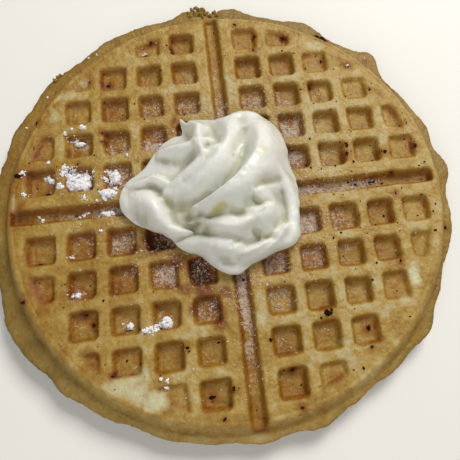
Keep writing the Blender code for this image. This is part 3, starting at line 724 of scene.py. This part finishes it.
def sugar_share(x, y):
    """How thickly fine sugar lies: round the cream, along the grooves and by the lumps."""
    away = np.maximum(beyond_cream(x, y), 0)
    thick = sum(strength * bell(away, reach) for strength, reach in SUGAR_ROUND_CREAM)
    for row, along, across in zip(SUGARED_GROOVES, (x, -y), (y, x)):
        strength, start, full, fade = row
        inside = (np.abs(across) < SUGARED_HALF) & (along > start)
        thick = thick + strength * inside * bell(np.maximum(along - full, 0), fade)
    strength, middle, half = SUGAR_STREAK
    thick = thick + strength * ((np.abs(y + 1) < 2.5) & (x < -30)) * bell(x - middle, half)
    for clump_x, clump_y, half_x, half_y, _, _ in SUGAR_CLUMPS:
        off_x, off_y = (x - clump_x) / (half_x + SUGAR_SKIRT), y - clump_y
        off = np.hypot(off_x, off_y / (half_y + SUGAR_SKIRT))
        thick = thick + 0.5 * np.exp(-(off**4))
    return np.clip(thick * (0.75 + waves(x, y, SUGAR_UNEVEN)), 0, 1)


def spots_px(rows, grow=0.0, level=0.0):
    """Round spots given by pixels, as places on a level plane: x, y and radius, one row each."""
    made = []
    for column, row, *half in rows:
        x, y = under_pixel(column, row, level)
        right, _ = under_pixel(column + sum(half) / len(half), row, level)
        made.append((x, y, right - x + grow))
    return made


def spot_share(x, y, spots):
    """How near a place is to any of some round spots: a bell over each."""
    share = np.zeros(np.shape(x))
    for spot_x, spot_y, radius in spots:
        share = np.maximum(share, np.exp(-((x - spot_x) ** 2 + (y - spot_y) ** 2) / radius**2))
    return share


def crust_values(x, y, down, wall, pale, top):
    """Values for the crust's colour: how brown it is baked, how red, how sugared and how pale.

    Walls are baked brownest, floors less and ridges least. Close to the cream the floors are
    soaked, and syrup has run from it on one side. The flange is brown towards its edge. Pockets
    half under the cream's brim are darkened with painted shadow, and the rim's lower side is
    lightened with painted light.
    Where top is 0, on the face that lies on the plate, there is no syrup, sugar or scorched spot.
    """
    radius, angle = np.hypot(x, y), np.degrees(np.arctan2(y, x))
    soaked = top * bell(np.maximum(beyond_cream(x, y), 0), SOAKED_REACH)
    syrup = spot_share(x, y, spots_px(SYRUP_SPOTS_PX, level=SYRUP_LEVEL))
    syrup = top * smooth(syrup * 1.3 + waves(x, y, SYRUP_FRAY) - 0.1)
    crumbs = [(column, row, 0.4 * (wide + high)) for column, row, wide, high in BURNT_CRUMBS_PX]
    scorch = top * spot_share(x, y, spots_px(crumbs, grow=0.8, level=CRUMB_LEVEL))
    # painted shadow of the cream's brim on the pockets that it half covers, where no sugar film
    # lies either
    shadowed_opening = top * smooth(1.5 * spot_share(x, y, spots_px(SHADOWED_OPENINGS_PX, level=OPENING_LEVEL)))
    bake = RIDGE_BAKE + FLOOR_BAKE * down + WALL_BAKE * wall + waves(x, y, BAKE_MOTTLE)
    bake = bake + SOAKED_BAKE * soaked * down + SYRUP_BAKE * syrup + OPENING_SHADOW * shadowed_opening
    bake = bake - 0.05 * smooth((x + 0.5 * y) / 70) + 0.05 * smooth(-x / 60)
    land, turned = smooth((radius - LAND_START) / 5), smooth((radius - TURNED_START) / 2)
    bake = bake + land * (1 - turned) * (0.04 + by_side(angle, LAND_SIDES))
    # painted light: the negative row of TURNED_SIDES lightens the rim's lower side, which the lamps
    # leave in shade
    bake = bake + turned * (0.1 + by_side(angle, TURNED_SIDES))
    at_edge = smooth((radius - edge_radius(angle) + 2.2) / 2.2)
    flange_bake_and_painted_light = FLANGE_BAKE + EDGE_BAKE * at_edge + waves(x, y, FLANGE_MOTTLE)
    # painted light: the negative row of FLANGE_SIDES lightens the flange's lower side
    flange_bake_and_painted_light = flange_bake_and_painted_light + by_side(angle, FLANGE_SIDES)
    flange = smooth((radius - FLANGE_ROOT_RADIUS + 1.0) / 1.4)
    root_line = bell(radius - FLANGE_ROOT_RADIUS, 0.5)
    bake = bake * (1 - flange) + flange_bake_and_painted_light * flange + EDGE_BAKE * root_line
    # painted light: the negative row of DULL_SIDES takes the olive brown off the flange's lower
    # side
    dull = smooth((radius - DULL_START) / 5) * (0.45 + 0.1 * at_edge + by_side(angle, DULL_SIDES))
    dull = np.clip(dull * (1 + waves(x, y, DULL_MOTTLE)), 0, 1)
    bake = np.clip(bake * (1 - 0.7 * pale) + SCORCH_BAKE * scorch, 0, 1)
    red = np.clip(0.55 * soaked * (0.3 + 0.7 * down) + 1.1 * syrup, 0, 1.1)
    frost = top * sugar_share(x, y) * (0.2 + 0.8 * down) * (1 - 0.8 * wall) * (1 - shadowed_opening)
    return {"bake": bake, "red": red, "frost": frost, "dull": dull, "pale": pale}


def make_waffle():
    """The whole crust as one closed skin: upper face, rim, flange and lower face, kept inside
    its solid's own box."""
    x, y, quads, border = disc_grid(UPPER_STEP)
    low_x, low_y, low_quads, low_border = disc_grid(LOWER_STEP)
    angle = np.arctan2(y[border], x[border])
    parts = [(x, y, *upper_surface(x, y)), *rim_rings(angle)]
    parts.append((low_x, low_y, *lower_surface(low_x, low_y)))
    points = np.concatenate([np.stack(part[:3], -1) for part in parts])
    shift = place(np.zeros(3)) / MM
    low, high = (np.array(corner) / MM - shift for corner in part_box("waffle"))
    points = np.clip(points, low, high)
    tops = [1] * (len(parts) - 1) + [0]
    values = [crust_values(*part[:2], *part[3:], top) for part, top in zip(parts, tops)]
    values = {key: np.concatenate([part[key] for part in values]) for key in values[0]}
    around, count = len(border), len(parts) - 2
    loops = len(x) + np.arange(count * around).reshape(count, around)
    loops = np.concatenate([border[None], loops])
    after = np.roll(loops, -1, axis=1)
    sides = np.stack([loops[:-1], loops[1:], after[1:], after[:-1]], -1).reshape(-1, 4)
    start = len(x) + count * around
    low_angle = np.arctan2(low_y[low_border], low_x[low_border])
    joint = zipped(loops[-1], angle, start + low_border, low_angle)
    faces = np.concatenate([quads, sides, low_quads[:, ::-1] + start]).tolist() + joint.tolist()
    return new_mesh("waffle_crust", points, faces, values)


# Shape of the cream

def nearest_on(x, y, line):
    """For each place, the values of the nearest point of a bent line, whether it lies to the
    left of the way along it, and how far off it is. The line is taken piece by piece."""
    values = np.zeros((line.shape[1],) + np.shape(x))
    left = np.zeros(np.shape(x), bool)
    nearest = np.full(np.shape(x), np.inf)
    for start, end in zip(line, line[1:]):
        run_x, run_y = end[:2] - start[:2]
        share = ((x - start[0]) * run_x + (y - start[1]) * run_y) / (run_x**2 + run_y**2)
        share = np.clip(share, 0, 1)
        here = np.stack([a + (b - a) * share for a, b in zip(start, end)])
        off = np.hypot(x - here[0], y - here[1])
        closer = off < nearest
        nearest = np.where(closer, off, nearest)
        values = np.where(closer, here, values)
        left = np.where(closer, run_x * (y - here[1]) > run_y * (x - here[0]), left)
    return values, left, nearest


def fold_height(x, y, fold):
    """A fold falls to each side of its crest by exp(-fall * (distance / half width) ^ flatness)."""
    flat_left, flat_right, points = fold
    values, left, off = nearest_on(x, y, curve(points, CURVE_STEPS))
    _, _, height, width_left, width_right = values
    off = off / np.where(left, width_left, width_right)
    return height * np.exp(-CREAM_FOLD_FALL * off ** np.where(left, flat_left, flat_right))


def hollow_depth(x, y, hollow):
    """A groove along a bent line, a bell in its cross-section."""
    (_, _, depth, width), _, off = nearest_on(x, y, curve(hollow, CURVE_STEPS))
    return depth * bell(off, width)


def cream_height(x, y, share):
    """Folds and dome added by a high power, which leaves creases, less the hollows, and rounded
    off at the outline."""
    dome = CREAM_DOME_HEIGHT * np.sqrt(np.clip(1 - share**2, 0, 1))
    power = CREAM_FOLD_SHARPNESS
    total = dome**power
    for fold in CREAM_FOLDS.values():
        total = total + fold_height(x, y, fold) ** power
    total = total ** (1 / power)
    for hollow in CREAM_HOLLOWS:
        total = total - hollow_depth(x, y, hollow)
    total = np.maximum(total, CREAM_RIM_HEIGHT)
    rounding = np.sqrt(np.clip(1 - share**6, 0, 1))
    return CREAM_RIM_HEIGHT + (total - CREAM_RIM_HEIGHT) * rounding


def make_cream():
    """The dollop: rings from its top out to its outline, then under it and back to the middle."""
    around, over, under = 440, 190, 22
    angle = np.linspace(0, 2 * np.pi, around, endpoint=False)
    degrees = np.degrees(angle)
    outline = cream_outline(degrees)
    outline = outline + waves(degrees, 0 * degrees, CREAM_EDGE_RAGS)
    way = (np.arange(over) + 1) / over
    share = np.sin(way * np.pi / 2)[:, None] * np.ones(around)
    x = CREAM_CENTRE[0] + share * outline * np.cos(angle)
    y = CREAM_CENTRE[1] + share * outline * np.sin(angle)
    height = cream_height(x, y, share)
    uneven = waves(x, y, CREAM_UNEVEN) + waves(x + y, x - y, CREAM_UNEVEN_ASKEW)
    height = height + uneven * np.clip(height - CREAM_RIM_HEIGHT, 0, 1)
    turn = np.linspace(0, np.pi / 2, under // 2)[1:, None]
    tucked = 1 - CREAM_UNDERCUT * np.sin(turn) ** 2 * np.ones(around)
    tuck_height = CREAM_RIM_HEIGHT * (1 - np.sin(turn)) * np.ones(around)
    flat = np.linspace(1 - CREAM_UNDERCUT, 0.02, under // 2)[1:, None] * np.ones(around)
    shares = np.concatenate([share, tucked, flat])
    heights = np.concatenate([height, tuck_height, 0 * flat]) + CREAM_GAP
    x = CREAM_CENTRE[0] + shares * outline * np.cos(angle)
    y = CREAM_CENTRE[1] + shares * outline * np.sin(angle)
    rings = np.stack([x, y, heights], -1)
    peak = np.array([[CREAM_CENTRE[0], CREAM_CENTRE[1], heights[0].mean()]])
    foot = np.array([[CREAM_CENTRE[0], CREAM_CENTRE[1], CREAM_GAP]])
    points = np.concatenate([rings.reshape(-1, 3), peak, foot])
    # painted shade: how deep each point lies in a crease, for the greenish grey
    hollow = np.zeros(heights.shape)
    hollow[:over] = painted_crease_shade(height, outline)
    pit = sum(hollow_depth(x, y, line) for line in CREAM_HOLLOWS[2:6])
    pit = 0.45 * pit + hollow_depth(x, y, CREAM_HOLLOWS[1])
    pit = np.clip(pit / PIT_DEPTH, 0, 1) ** 2
    pit = np.maximum(pit, 0.3 * spot_share(x, y, spots_px(CREAM_BUTTERY_PX, level=CREAM_TOP_LEVEL)))
    # painted shade, together with the crust showing through: beige grey in a valley between folds,
    # where the cream lies thinly
    thin = spot_share(x, y, spots_px(CREAM_THIN_SHADE_PX, level=CREAM_SIDE_LEVEL))
    values = {"hollow": hollow, "pit": pit, "thin": thin}
    values = {key: np.append(each.ravel(), [each[0].mean(), 0]) for key, each in values.items()}
    return new_mesh("cream_dollop", points, closed_faces(len(rings), around), values)


def painted_crease_shade(height, outline):
    """How far a point lies below the mean of four neighbours about 3 mm off, from 0 to 1: the
    painted shade of the cream's creases.
    """
    over, around = height.shape
    share = np.sin((np.arange(over) + 1) / over * np.pi / 2)
    radius = share * outline.mean()
    aside = np.clip(CREASE_SHADE_REACH / (radius * 2 * np.pi / around), 1, around / 8).astype(int)
    column = np.arange(around)
    ring, aside = np.arange(over)[:, None], aside[:, None]
    near = [height[ring, (column + way * aside) % around] for way in (-1, 1)]
    for way in (-1, 1):
        shifted = np.clip(share + way * CREASE_SHADE_REACH / outline.mean(), 0.01, 1)
        row = np.arcsin(shifted) * 2 / np.pi * over - 1
        near.append(height[np.clip(row.round().astype(int), 0, over - 1)])
    return np.clip((sum(near) / 4 - height) / CREASE_SHADE_DEPTH, 0, 1)


# Small things

def unit_ball(around, rings):
    """Points and faces of a ball of radius 1: rings of a turned half circle and two poles."""
    angle = np.linspace(0, 2 * np.pi, around, endpoint=False)
    tilt = np.linspace(0, np.pi, rings + 2)[1:-1, None]
    x = np.sin(tilt) * np.cos(angle)
    y = np.sin(tilt) * np.sin(angle)
    z = np.cos(tilt) * np.ones(around)
    points = np.concatenate([np.stack([x, y, z], -1).reshape(-1, 3), [[0, 0, 1], [0, 0, -1]]])
    return points, closed_faces(rings, around)


def joined_copies(name, shaped, faces, values=None):
    """One mesh of many copies that have the same faces and point values, from the points of
    each copy."""
    count, size, _ = shaped.shape
    shift = (np.arange(count) * size)[:, None, None]
    every = []
    for corners in (4, 3):
        alike = [face for face in faces if len(face) == corners]
        if alike:
            every += (np.array(alike)[None] + shift).reshape(-1, corners).tolist()
    values = {key: np.full(count * size, each) for key, each in (values or {}).items()}
    return new_mesh(name, shaped.reshape(-1, 3), every, values)


def scattered(name, ball, centres, sizes, seed, lumpiness, values=None):
    """Copies of a ball, each turned at random, stretched to its size and made lumpy, all with
    the same point values."""
    points, faces = ball
    draw = np.random.default_rng(seed)
    count = len(centres)
    turn = draw.normal(size=(count, 4))
    turn /= np.linalg.norm(turn, axis=1, keepdims=True)
    w, a, b, c = turn.T
    rows = np.stack([
        1 - 2 * (b * b + c * c), 2 * (a * b - c * w), 2 * (a * c + b * w),
        2 * (a * b + c * w), 1 - 2 * (a * a + c * c), 2 * (b * c - a * w),
        2 * (a * c - b * w), 2 * (b * c + a * w), 1 - 2 * (a * a + b * b),
    ], -1).reshape(count, 3, 3)
    lumpy = 1 + lumpiness * draw.uniform(-1, 1, (count, len(points), 1))
    shaped = np.einsum("nij,pj->npi", rows, points) * lumpy * sizes[:, None, :]
    return joined_copies(name, shaped + centres[:, None, :], faces, values)


def surface_level(x, y):
    """Level of the upper face, or of the flange outside it."""
    height, _, _, _ = upper_surface(x, y)
    radius = np.hypot(x, y)
    flange = FLANGE_LEVEL - FLANGE_FALL * (radius - FLANGE_ROOT_RADIUS)
    return np.where(radius < FLANGE_ROOT_RADIUS, height, flange)


def core_level(x, y):
    """Level of the top of the sugar's solid lumps, far below where there is none."""
    level = np.full(np.shape(x), -99.0)
    for clump_x, clump_y, half_x, half_y, middle, half_z in SUGAR_CLUMPS[:SUGAR_CORES]:
        off = ((x - clump_x) / half_x) ** 2 + ((y - clump_y) / half_y) ** 2
        top = middle + half_z * np.sqrt(np.clip(1 - off, 0, 1))
        level = np.where(off < 1, np.maximum(level, top), level)
    return level


def settled(rows):
    """Places of spots given by pixels, each on the level of the crust that it lies on."""
    made = []
    for column, row, half in rows:
        level = 0.0
        for _ in range(4):
            x, y = under_pixel(column, row, level)
            level = float(surface_level(np.array([x]), np.array([y]))[0])
        right, _ = under_pixel(column + half, row, level)
        made.append((x, y, right - x))
    return made


def make_sugar_cores():
    """Packed sugar inside the larger heaps: flat balls with knobbly skins, where the solid has
    its lumps."""
    ball_points, ball_faces = unit_ball(40, 18)
    points, faces = [], []
    for number, (x, y, half_x, half_y, level, half_z) in enumerate(SUGAR_CLUMPS[:SUGAR_CORES]):
        a, b, c = ball_points.T
        knobbly = 0.86 + 0.16 * noise(a * 9 + number * 7, b * 9 + c * 5, 2.6, 81)
        shaped = ball_points * knobbly[:, None] * (half_x, half_y, half_z)
        points.append(shaped + (x, y, level))
        faces += [[n + number * len(ball_points) for n in face] for face in ball_faces]
    return new_mesh("sugar_cores", np.concatenate(points), faces)


def heaped(name, rows, per_area, sizes, lumpiness, seed, values=None):
    """Small knobbly balls heaped over round spots given by pixels, thinning out at each rim."""
    draw = np.random.default_rng(seed)
    places, stretch = [], []
    for x, y, radius in settled(rows):
        count = int(per_area * radius**2) + HEAP_LEAST
        away = np.abs(draw.normal(0, HEAP_SPREAD, count))
        turn = draw.uniform(0, 2 * np.pi, count)
        off_x, off_y = x + radius * away * np.cos(turn), y + radius * away * np.sin(turn)
        size = draw.uniform(*sizes, (count, 1)) * draw.uniform(0.6, 1.3, (count, 3))
        ground = np.maximum(surface_level(off_x, off_y), core_level(off_x, off_y) - CORE_OVERLAP)
        heap = HEAP_HEIGHT * radius * np.exp(-2 * away**2) * draw.uniform(0, 1, count)
        centres = np.stack([off_x, off_y, ground + heap + 0.3 * size[:, 2]], -1)
        kept = (place(centres + 1.4 * size.max(axis=1, keepdims=True)) < cad_box[1]).all(axis=1)
        places.append(centres[kept])
        stretch.append(size[kept])
    return scattered(name, unit_ball(6, 3), np.concatenate(places), np.concatenate(stretch),
                     seed + 1, lumpiness, values)


def make_sugar_grains():
    """Sugar scattered in clusters of a few crystals of 0.3 to 0.6 mm, thick where sugar_share
    says."""
    draw = np.random.default_rng(91)
    x, y = draw.uniform(-FIELD_RADIUS, FIELD_RADIUS, (2, GRAIN_TRIES))
    _, down, wall, _ = upper_surface(x, y)
    chance = sugar_share(x, y) ** 1.3 * (0.18 + 0.82 * down) * (1 - 0.6 * wall) + STRAY_GRAINS
    kept = draw.uniform(0, 1, len(x)) < chance * GRAIN_CHANCE
    kept &= beyond_cream(x, y) > -UNDER_CREAM
    kept &= np.hypot(x, y) < BORDER_RADIUS
    x, y = x[kept], y[kept]
    grains = draw.integers(*GRAIN_CLUSTER, len(x))
    spread = np.repeat(draw.uniform(*GRAIN_SPREAD, len(x)), grains)
    x, y = (np.repeat(way, grains) + spread * draw.normal(0, 1, grains.sum()) for way in (x, y))
    x, y = x[:MOST_GRAINS], y[:MOST_GRAINS]
    size = draw.uniform(*GRAIN_SIZES, (len(x), 1)) * draw.uniform(0.7, 1.25, (len(x), 3))
    centres = np.stack([x, y, surface_level(x, y) + 0.5 * size[:, 2]], -1)
    return scattered("sugar_grains", unit_ball(4, 1), centres, size, 92, 0.15)


def make_burnt_crumbs():
    """Specks of charred batter: the large ones where the photograph has them, small ones drawn
    at random, more of them on the side of +X."""
    draw = np.random.default_rng(95)
    large = np.array(BURNT_CRUMBS_PX)
    scale = EYE[2] / LENS_PX
    spots = np.array([under_pixel(column, row, CRUMB_LEVEL) for column, row, _, _ in large])
    half = np.stack([large[:, 2], large[:, 3], 0.6 * large[:, 2:].min(axis=1)], -1) * scale / 2
    radius = FIELD_RADIUS * np.sqrt(draw.uniform(0, 1, SMALL_CRUMBS))
    angle = np.where(
        draw.uniform(0, 1, SMALL_CRUMBS) < CRUMB_SIDE[0],
        draw.normal(*CRUMB_SIDE[1:], SMALL_CRUMBS),
        draw.uniform(-np.pi, np.pi, SMALL_CRUMBS),
    )
    small = np.stack([radius * np.cos(angle), radius * np.sin(angle)], -1)
    small = small[beyond_cream(small[:, 0], small[:, 1]) > 2]
    tiny = draw.uniform(*SMALL_CRUMB_SIZES, (len(small), 1))
    tiny = tiny * draw.uniform(0.5, 1.5, (len(small), 3))
    near, round_them = (np.repeat(each, CRUMB_CHIPS, axis=0) for each in (spots, half))
    near = near + draw.normal(0, 0.7, near.shape) * round_them[:, :2]
    chips = round_them.min(axis=1)[:, None] * draw.uniform(0.25, 0.7, (len(near), 3))
    spots, size = np.concatenate([spots, near, small]), np.concatenate([half * 0.8, chips, tiny])
    level = surface_level(spots[:, 0], spots[:, 1])
    centres = np.stack([spots[:, 0], spots[:, 1], level + 0.25 * size[:, 2]], -1)
    return scattered_flat("burnt_crumbs", unit_ball(8, 5), centres, size, 96)


def scattered_flat(name, ball, centres, sizes, seed):
    """Copies of a ball that keep their heading, each stretched to its size, with ragged skins."""
    points, faces = ball
    draw = np.random.default_rng(seed)
    ragged = 1 + 0.45 * draw.uniform(-1, 1, (len(centres), len(points), 1))
    shaped = points[None] * ragged * sizes[:, None, :] + centres[:, None, :]
    return joined_copies(name, shaped, faces)


# Materials

SOCKETS = {"roughness": "Roughness", "specular": "Specular IOR Level", "ior": "IOR"}


def add(tree, kind, settings=None, links=None):
    """Adds a node. Settings are its properties or the values of its inputs; links are what its
    inputs are joined to; "stops" are a colour ramp's places and colours."""
    node = tree.nodes.new(kind)
    for name, value in (settings or {}).items():
        if name == "stops":
            ramp = node.color_ramp
            while len(ramp.elements) < len(value):
                ramp.elements.new(1.0)
            for element, (position, colour) in zip(ramp.elements, value):
                element.position = position
                element.color = linear(colour)
        elif isinstance(name, int) or name in node.inputs:
            node.inputs[name].default_value = value
        else:
            setattr(node, name, value)
    for name, source in (links or {}).items():
        tree.links.new(source, node.inputs[name])
    return node


def new_material(name):
    made = bpy.data.materials.new(name)
    made.use_nodes = True
    return made, made.node_tree, made.node_tree.nodes["Principled BSDF"]


def per_metre(size):
    """A pattern's scale from the size of its features in millimetres."""
    return 1 / (size * MM)


def scaled(tree, source, factor, plus):
    """factor times a value, plus a number or another value."""
    node = add(tree, "ShaderNodeMath", {"operation": "MULTIPLY_ADD", 1: factor}, {0: source})
    if isinstance(plus, float):
        node.inputs[2].default_value = plus
    else:
        tree.links.new(plus, node.inputs[2])
    return node.outputs[0]


def mixed(tree, share, under, over):
    """A colour over another one, as far as the share says."""
    return add(tree, "ShaderNodeMix", {"data_type": "RGBA", 7: linear(over)},
               {0: share, 6: under}).outputs[2]


def grain(tree, where, size, detail=2.0, roughness=0.5):
    """Noise with features of that size in millimetres."""
    settings = {"Scale": per_metre(size), "Detail": detail, "Roughness": roughness}
    return add(tree, "ShaderNodeTexNoise", settings, {"Vector": where}).outputs["Fac"]


def point_value(tree, name):
    """A value that the mesh holds at its points."""
    return add(tree, "ShaderNodeAttribute", {"attribute_name": name}).outputs["Fac"]


def own_place(tree):
    return add(tree, "ShaderNodeTexCoord").outputs["Object"]


def coloured(tree, source, *stops):
    """A value turned into a colour by a ramp with those stops."""
    return add(tree, "ShaderNodeValToRGB", {"stops": stops}, {"Fac": source}).outputs["Color"]


def ranged(tree, source, low, high, first=0.0, last=1.0):
    """A value carried from one range to another, and held at its ends."""
    settings = {1: low, 2: high, 3: first, 4: last}
    return add(tree, "ShaderNodeMapRange", settings, {0: source}).outputs[0]


def times(tree, one, other):
    return add(tree, "ShaderNodeMath", {"operation": "MULTIPLY"}, {0: one, 1: other}).outputs[0]


def finish_shader(tree, shader, colour, height=None, strength=0.0, depth=0.0, **sockets):
    """Joins the colour and a relief of that depth in millimetres, and sets the other sockets."""
    tree.links.new(colour, shader.inputs["Base Color"])
    if height is not None:
        relief = add(tree, "ShaderNodeBump", {"Strength": strength, "Distance": depth * MM},
                     {"Height": height}).outputs["Normal"]
        tree.links.new(relief, shader.inputs["Normal"])
    for name, value in sockets.items():
        shader.inputs[SOCKETS[name]].default_value = value


def baked_batter():
    """Batter baked between hot iron plates: a dry crust, oily in patches. Browned on the walls,
    pale on the ridges, with a mottle of a few millimetres, fine pores, brown flecks, and a film
    of sugar where the frost value says."""
    made, tree, shader = new_material("baked_batter_crust")
    where = own_place(tree)
    value = {name: point_value(tree, name) for name in ("bake", "red", "frost", "dull", "pale")}
    mottle = grain(tree, where, 5, 5.0, 0.65)
    fine = grain(tree, where, 1.4, 4.0, 0.65)
    # this value holds the browning, painted shadow under the cream's brim and painted light on the
    # rim's lower side
    bake = scaled(tree, mottle, 0.46, value["bake"])
    bake = scaled(tree, fine, 0.5, bake)
    bake = scaled(tree, bake, 1.0, -0.48)
    crust = coloured(tree, bake, (0.0, "#B9A778"), (0.14, "#B0914A"), (0.32, "#9D792F"),
                     (0.55, "#8F5C13"), (0.8, "#703904"), (1.0, "#321A06"))
    crust = mixed(tree, times(tree, value["red"], mottle), crust, "#76401F")
    # this value is lessened on the rim's lower side as painted light
    crust = mixed(tree, value["dull"], crust, "#735C22")
    raw = scaled(tree, mottle, 0.5, scaled(tree, value["pale"], 1.0, -0.6))
    crust = mixed(tree, ranged(tree, raw, -0.1, 0.65, 0.0, 0.9), crust, "#CFCBA6")
    flecks = ranged(tree, grain(tree, where, 1.1), 0.68, 0.74, 0.0, 0.6)
    crust = mixed(tree, flecks, crust, "#4E2C10")
    film = scaled(tree, value["frost"], 0.24, grain(tree, where, 1.2, 4.0, 0.7))
    film = ranged(tree, film, 0.6, 0.74, 0.0, 0.7)
    film = times(tree, film, ranged(tree, value["frost"], 0.03, 0.25))
    crust = mixed(tree, film, crust, "#CDBDB0")
    pores = add(tree, "ShaderNodeTexVoronoi", {"Scale": per_metre(1.6)},
                {"Vector": where}).outputs["Distance"]
    oily = ranged(tree, mottle, 0.35, 0.65, 0.62, 0.34)
    tree.links.new(scaled(tree, value["red"], -0.16, oily), shader.inputs["Roughness"])
    finish_shader(tree, shader, crust, scaled(tree, pores, 0.6, fine), 0.8, 0.6, specular=0.4)
    return made


def whipped_cream():
    """Cream whipped to soft peaks: a white foam of fat and air that light enters a little, with
    a moist gloss. Between folds it has a greenish grey painted shade, and in a valley where it
    lies thinly over the crust a beige painted shade; it is yellowish in the deepest pits."""
    made, tree, shader = new_material("whipped_cream")
    where = own_place(tree)
    # painted shade: greenish grey in the creases, by how deep each point lies in one
    colour = coloured(tree, point_value(tree, "hollow"),
                      (0.0, "#E5E6E1"), (0.5, "#DEDFD5"), (1.0, "#CFD0C1"))
    # painted shade: beige grey in a valley between folds, where the cream lies thinly over the
    # crust
    colour = mixed(tree, scaled(tree, point_value(tree, "thin"), 0.85, 0.0), colour, "#A59E7C")
    colour = mixed(tree, point_value(tree, "pit"), colour, "#CFC278")
    foam = scaled(tree, grain(tree, where, 0.7, 3.0), 0.25, grain(tree, where, 2.4, 3.0))
    finish_shader(tree, shader, colour, foam, 0.45, 0.5, roughness=0.26, ior=1.4)
    shader.inputs["Subsurface Weight"].default_value = 0.7
    shader.inputs["Subsurface Radius"].default_value = (0.005, 0.005, 0.0046)
    shader.inputs["Subsurface Scale"].default_value = 1.0
    return made


def damp_sugar():
    """Powdery sugar, slightly damp: matt, cold white, with a granular skin."""
    made, tree, shader = new_material("damp_sugar")
    powder = grain(tree, own_place(tree), 0.8, 3.0)
    colour = coloured(tree, powder, (0.3, "#DEDADE"), (0.5, "#FAF9FD"))
    finish_shader(tree, shader, colour, powder, 0.8, 0.4, roughness=0.75)
    return made


def sugar_crystal():
    """Single crystals of sugar, clear to white, stained by the crust, with small glints."""
    made, tree, shader = new_material("sugar_crystal")
    colour = coloured(tree, grain(tree, own_place(tree), 2.0), (0.35, "#C8A47C"), (0.6, "#EEE2D4"))
    finish_shader(tree, shader, colour, roughness=0.25, ior=1.54)
    return made


def charred_batter():
    """Charred batter: brown-black, brittle, with no gloss at all."""
    made, tree, shader = new_material("charred_batter")
    colour = coloured(tree, grain(tree, own_place(tree), 0.6), (0.35, "#140B05"), (0.7, "#3A210D"))
    finish_shader(tree, shader, colour, roughness=0.95, specular=0.08)
    return made


def pale_board():
    """A matt painted board under the waffle."""
    made, tree, shader = new_material("matt_white_board")
    shader.inputs["Base Color"].default_value = linear("#EEEDEA")
    shader.inputs["Roughness"].default_value = 0.8
    return made


# Stage

FLOOR_REACH = 1600
FLOOR_LEVEL_REACH = 1100  # where it begins to curve up
LAMPS = (  # name, place and size in metres, power in watts, colour
    ("key_lamp", (0.38, 0.5, 0.66), 0.4, 7.3, "#FFFCF4"),
    ("fill_lamp", (-0.35, -0.75, 0.7), 0.9, 4.6, "#FFFEFA"),
)


def make_floor():
    """A wide level floor that curves up softly far away on all sides."""
    around, steps = 96, 40
    angle = np.linspace(0, 2 * np.pi, around, endpoint=False)
    radius = np.linspace(0, 1, steps)[1:, None] ** 1.5 * FLOOR_REACH
    rise = np.clip(radius - FLOOR_LEVEL_REACH, 0, None) ** 2 / FLOOR_REACH
    height = rise * np.ones(around) - THICKNESS
    rings = np.stack([radius * np.cos(angle), radius * np.sin(angle), height], -1)
    points = np.concatenate([rings.reshape(-1, 3), [[0, 0, -THICKNESS]]])
    faces = ring_faces(len(rings), around)[:, ::-1].tolist()
    middle = len(rings) * around
    faces += [[(n + 1) % around, middle, n] for n in range(around)]
    floor = new_mesh("floor", points, [face[::-1] for face in faces])
    floor.data.materials.append(pale_board())


def make_lamp(name, position, size, power, colour):
    """A square soft box that faces the waffle."""
    data = bpy.data.lights.new(name, "AREA")
    data.size = size
    data.energy = power
    data.color = linear(colour)[:3]
    lamp = bpy.data.objects.new(name, data)
    bpy.context.scene.collection.objects.link(lamp)
    lamp.location = position
    lamp.rotation_euler = (-Vector(position)).to_track_quat("-Z", "Y").to_euler()


def make_world():
    world = bpy.data.worlds.new("studio")
    world.use_nodes = True
    background = world.node_tree.nodes["Background"]
    background.inputs["Color"].default_value = linear("#F4F3F0")
    background.inputs["Strength"].default_value = 0.22
    bpy.context.scene.world = world


def make_camera():
    data = bpy.data.cameras.new("camera")
    data.sensor_width = SENSOR_MM
    data.lens = LENS_PX / PICTURE_PX * SENSOR_MM
    data.shift_x = (PICTURE_PX / 2 - AXIS_COLUMN) / PICTURE_PX
    camera = bpy.data.objects.new("camera", data)
    bpy.context.scene.collection.objects.link(camera)
    camera.matrix_world = Matrix.Translation(place(EYE)) @ camera_turn()
    bpy.context.scene.camera = camera


def dress(piece, material, slot, *nodes):
    """Gives a piece its material and body, and hides the nodes that it stands for. The slot is not
    used.
    """
    piece.data.materials.append(material)
    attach(piece, "root")
    if nodes:
        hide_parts(*nodes)


make_camera()
make_world()
for lamp in LAMPS:
    make_lamp(*lamp)
make_floor()
crust = baked_batter()
dress(make_waffle(), crust, BATTER_SLOT, "waffle")
dress(make_cream(), whipped_cream(), CREAM_SLOT, "whipped_cream")
sugar, sugar_on_crust = damp_sugar(), sugar_crystal()
dress(make_sugar_cores(), sugar, BATTER_SLOT)
dress(heaped("sugar_heaps", SUGAR_HEAPS_PX, 26, HEAP_SIZES, 0.22, 83), sugar, BATTER_SLOT)
baked = {"bake": 0.34, "dull": 0.45}
dress(heaped("rim_crag", CRAG_KNOBS_PX, 24, CRAG_SIZES, 0.35, 87, baked), crust, BATTER_SLOT)
dress(heaped("crag_sugar", CRAG_KNOBS_PX, 7, CRAG_SUGAR_SIZES, 0.3, 89), sugar_on_crust,
      BATTER_SLOT)
dress(make_sugar_grains(), sugar_on_crust, BATTER_SLOT)
dress(make_burnt_crumbs(), charred_batter(), BATTER_SLOT)

bpy.context.scene.view_settings.view_transform = "Standard"
